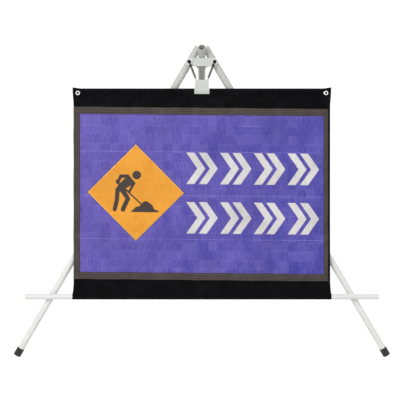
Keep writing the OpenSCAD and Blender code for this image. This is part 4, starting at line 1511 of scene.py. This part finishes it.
@dataclass
class Studio:
    """Pale floor, soft lights and the camera of the photograph."""

    hub: HubFrame
    field_of_view: float = 31.0
    distance: float = 2.5183
    side_shift: float = -0.0066
    drop: float = 0.4824
    floor_size: float = 60.0
    floor_matte: float = 0.22
    floor_bounce: float = 0.75
    floor_glow: float = 0.91
    ambient: float = 0.78
    ambient_behind: float = 0.3
    target: tuple[float, float, float] = (0.0, -0.35, 0.6)
    lamps: tuple = (
        ("key_box", (-2.2, -2.6, 3.0), 1.8, 60.0),
        ("fill_box", (2.6, -2.0, 2.2), 2.2, 16.0),
        ("back_box", (1.4, 3.0, 2.6), 2.4, 38.0),
    )

    def camera(self) -> None:
        """Places the camera square on to the sign's plane."""
        data = bpy.data.cameras.new("photo_camera")
        data.sensor_width = 36.0
        data.lens = data.sensor_width / 2 / math.tan(math.radians(self.field_of_view) / 2)
        data.clip_start, data.clip_end = 0.05, 200.0
        camera = bpy.data.objects.new("photo_camera", data)
        bpy.context.scene.collection.objects.link(camera)
        place, target = (
            self.hub.place(np.array([self.side_shift, depth, -self.drop])) for depth in (-self.distance, 0.0)
        )
        camera.matrix_world = aimed(place, target)
        bpy.context.scene.camera = camera

    @staticmethod
    def seen_directly(g: Graph) -> bpy.types.NodeSocket:
        """One for rays of the camera, of gloss and of transmission, otherwise zero."""
        rays = g.add("LightPath")
        seen = g.math("MAXIMUM", rays.outputs["Is Camera Ray"], rays.outputs["Is Glossy Ray"])
        return g.math("MAXIMUM", seen, rays.outputs["Is Transmission Ray"])

    def world(self) -> None:
        """White where it is seen, and softer where it only lights."""
        world = bpy.data.worlds.new("studio")
        bpy.context.scene.world = world
        world.use_nodes = True
        g = Graph(world.node_tree)
        background = world.node_tree.nodes["Background"]
        background.inputs["Color"].default_value = (1, 1, 1, 1)
        way = g.add("SeparateXYZ", {0: g.add("TexCoord").outputs["Generated"]})
        front = g.ramp(way.outputs[1], -0.6, 0.5, self.ambient, self.ambient_behind)
        seen = self.seen_directly(g)
        strength = g.math("ADD", seen, g.math("MULTIPLY", g.math("SUBTRACT", 1.0, seen), front))
        g.join(strength, background.inputs["Strength"])

    def floor(self) -> None:
        """A plain white floor that glows to white and keeps a soft shadow."""
        half = self.floor_size / 2
        corners = np.array([[-half, -half, 0], [half, -half, 0], [half, half, 0], [-half, half, 0]], float)
        material = bpy.data.materials.new("studio_floor")
        material.use_nodes = True
        g = Graph(material.node_tree)
        nodes = material.node_tree.nodes
        nodes.remove(nodes["Principled BSDF"])
        matte = g.add("BsdfDiffuse", {"Color": (*[self.floor_matte] * 3, 1)})
        bounce = g.add("BsdfDiffuse", {"Color": (*[self.floor_bounce] * 3, 1)})
        glow = g.add("Emission", {"Color": (1, 1, 1, 1), "Strength": self.floor_glow})
        both = g.add("AddShader", {0: matte.outputs[0], 1: glow.outputs[0]})
        mixed = g.add("MixShader", {0: self.seen_directly(g), 1: bounce.outputs[0], 2: both.outputs[0]})
        g.join(mixed.outputs[0], nodes["Material Output"].inputs["Surface"])
        mesh = bpy.data.meshes.new("studio_floor")
        mesh.from_pydata(corners.tolist(), [], [[0, 1, 2, 3]])
        mesh.materials.append(material)
        piece = bpy.data.objects.new("studio_floor", mesh)
        bpy.context.scene.collection.objects.link(piece)

    def lamp(self, name: str, place: tuple[float, float, float], size: float, power: float) -> None:
        """A square soft box aimed at the middle of the sign."""
        data = bpy.data.lights.new(name, "AREA")
        data.shape, data.size, data.energy = "SQUARE", size, power
        lamp = bpy.data.objects.new(name, data)
        bpy.context.scene.collection.objects.link(lamp)
        lamp.matrix_world = aimed(place, self.target)

    def build(self) -> None:
        """Makes the whole studio."""
        self.camera()
        self.world()
        self.floor()
        for lamp in self.lamps:
            self.lamp(*lamp)
        bpy.context.scene.view_settings.view_transform = "Standard"


def main() -> None:
    """Builds the classes in order and reports each piece."""
    logging.basicConfig(level=logging.INFO, format="%(name)s: %(message)s")
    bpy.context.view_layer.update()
    hub = HubFrame.from_hinges(frame["joints"], LEG_DEPTH)
    Studio(hub).build()
    palette = Palette()
    Ironwork(palette, frame["nodes"]).dress()
    cloth = Cloth(hub)
    panel = Panel(cloth, palette)
    pieces = Canvas(cloth, palette).build() + [panel.build()]
    pieces += Binding(cloth, panel, palette).build()
    pieces += Artwork(FilmCutter(panel), palette).build()
    for side in Side:
        pieces += HangerSpring(hub, palette, side).build()
    for piece in pieces:
        LOG.info("%s: %d faces", piece.name, len(piece.data.polygons))


if __name__ == "__main__":
    main()
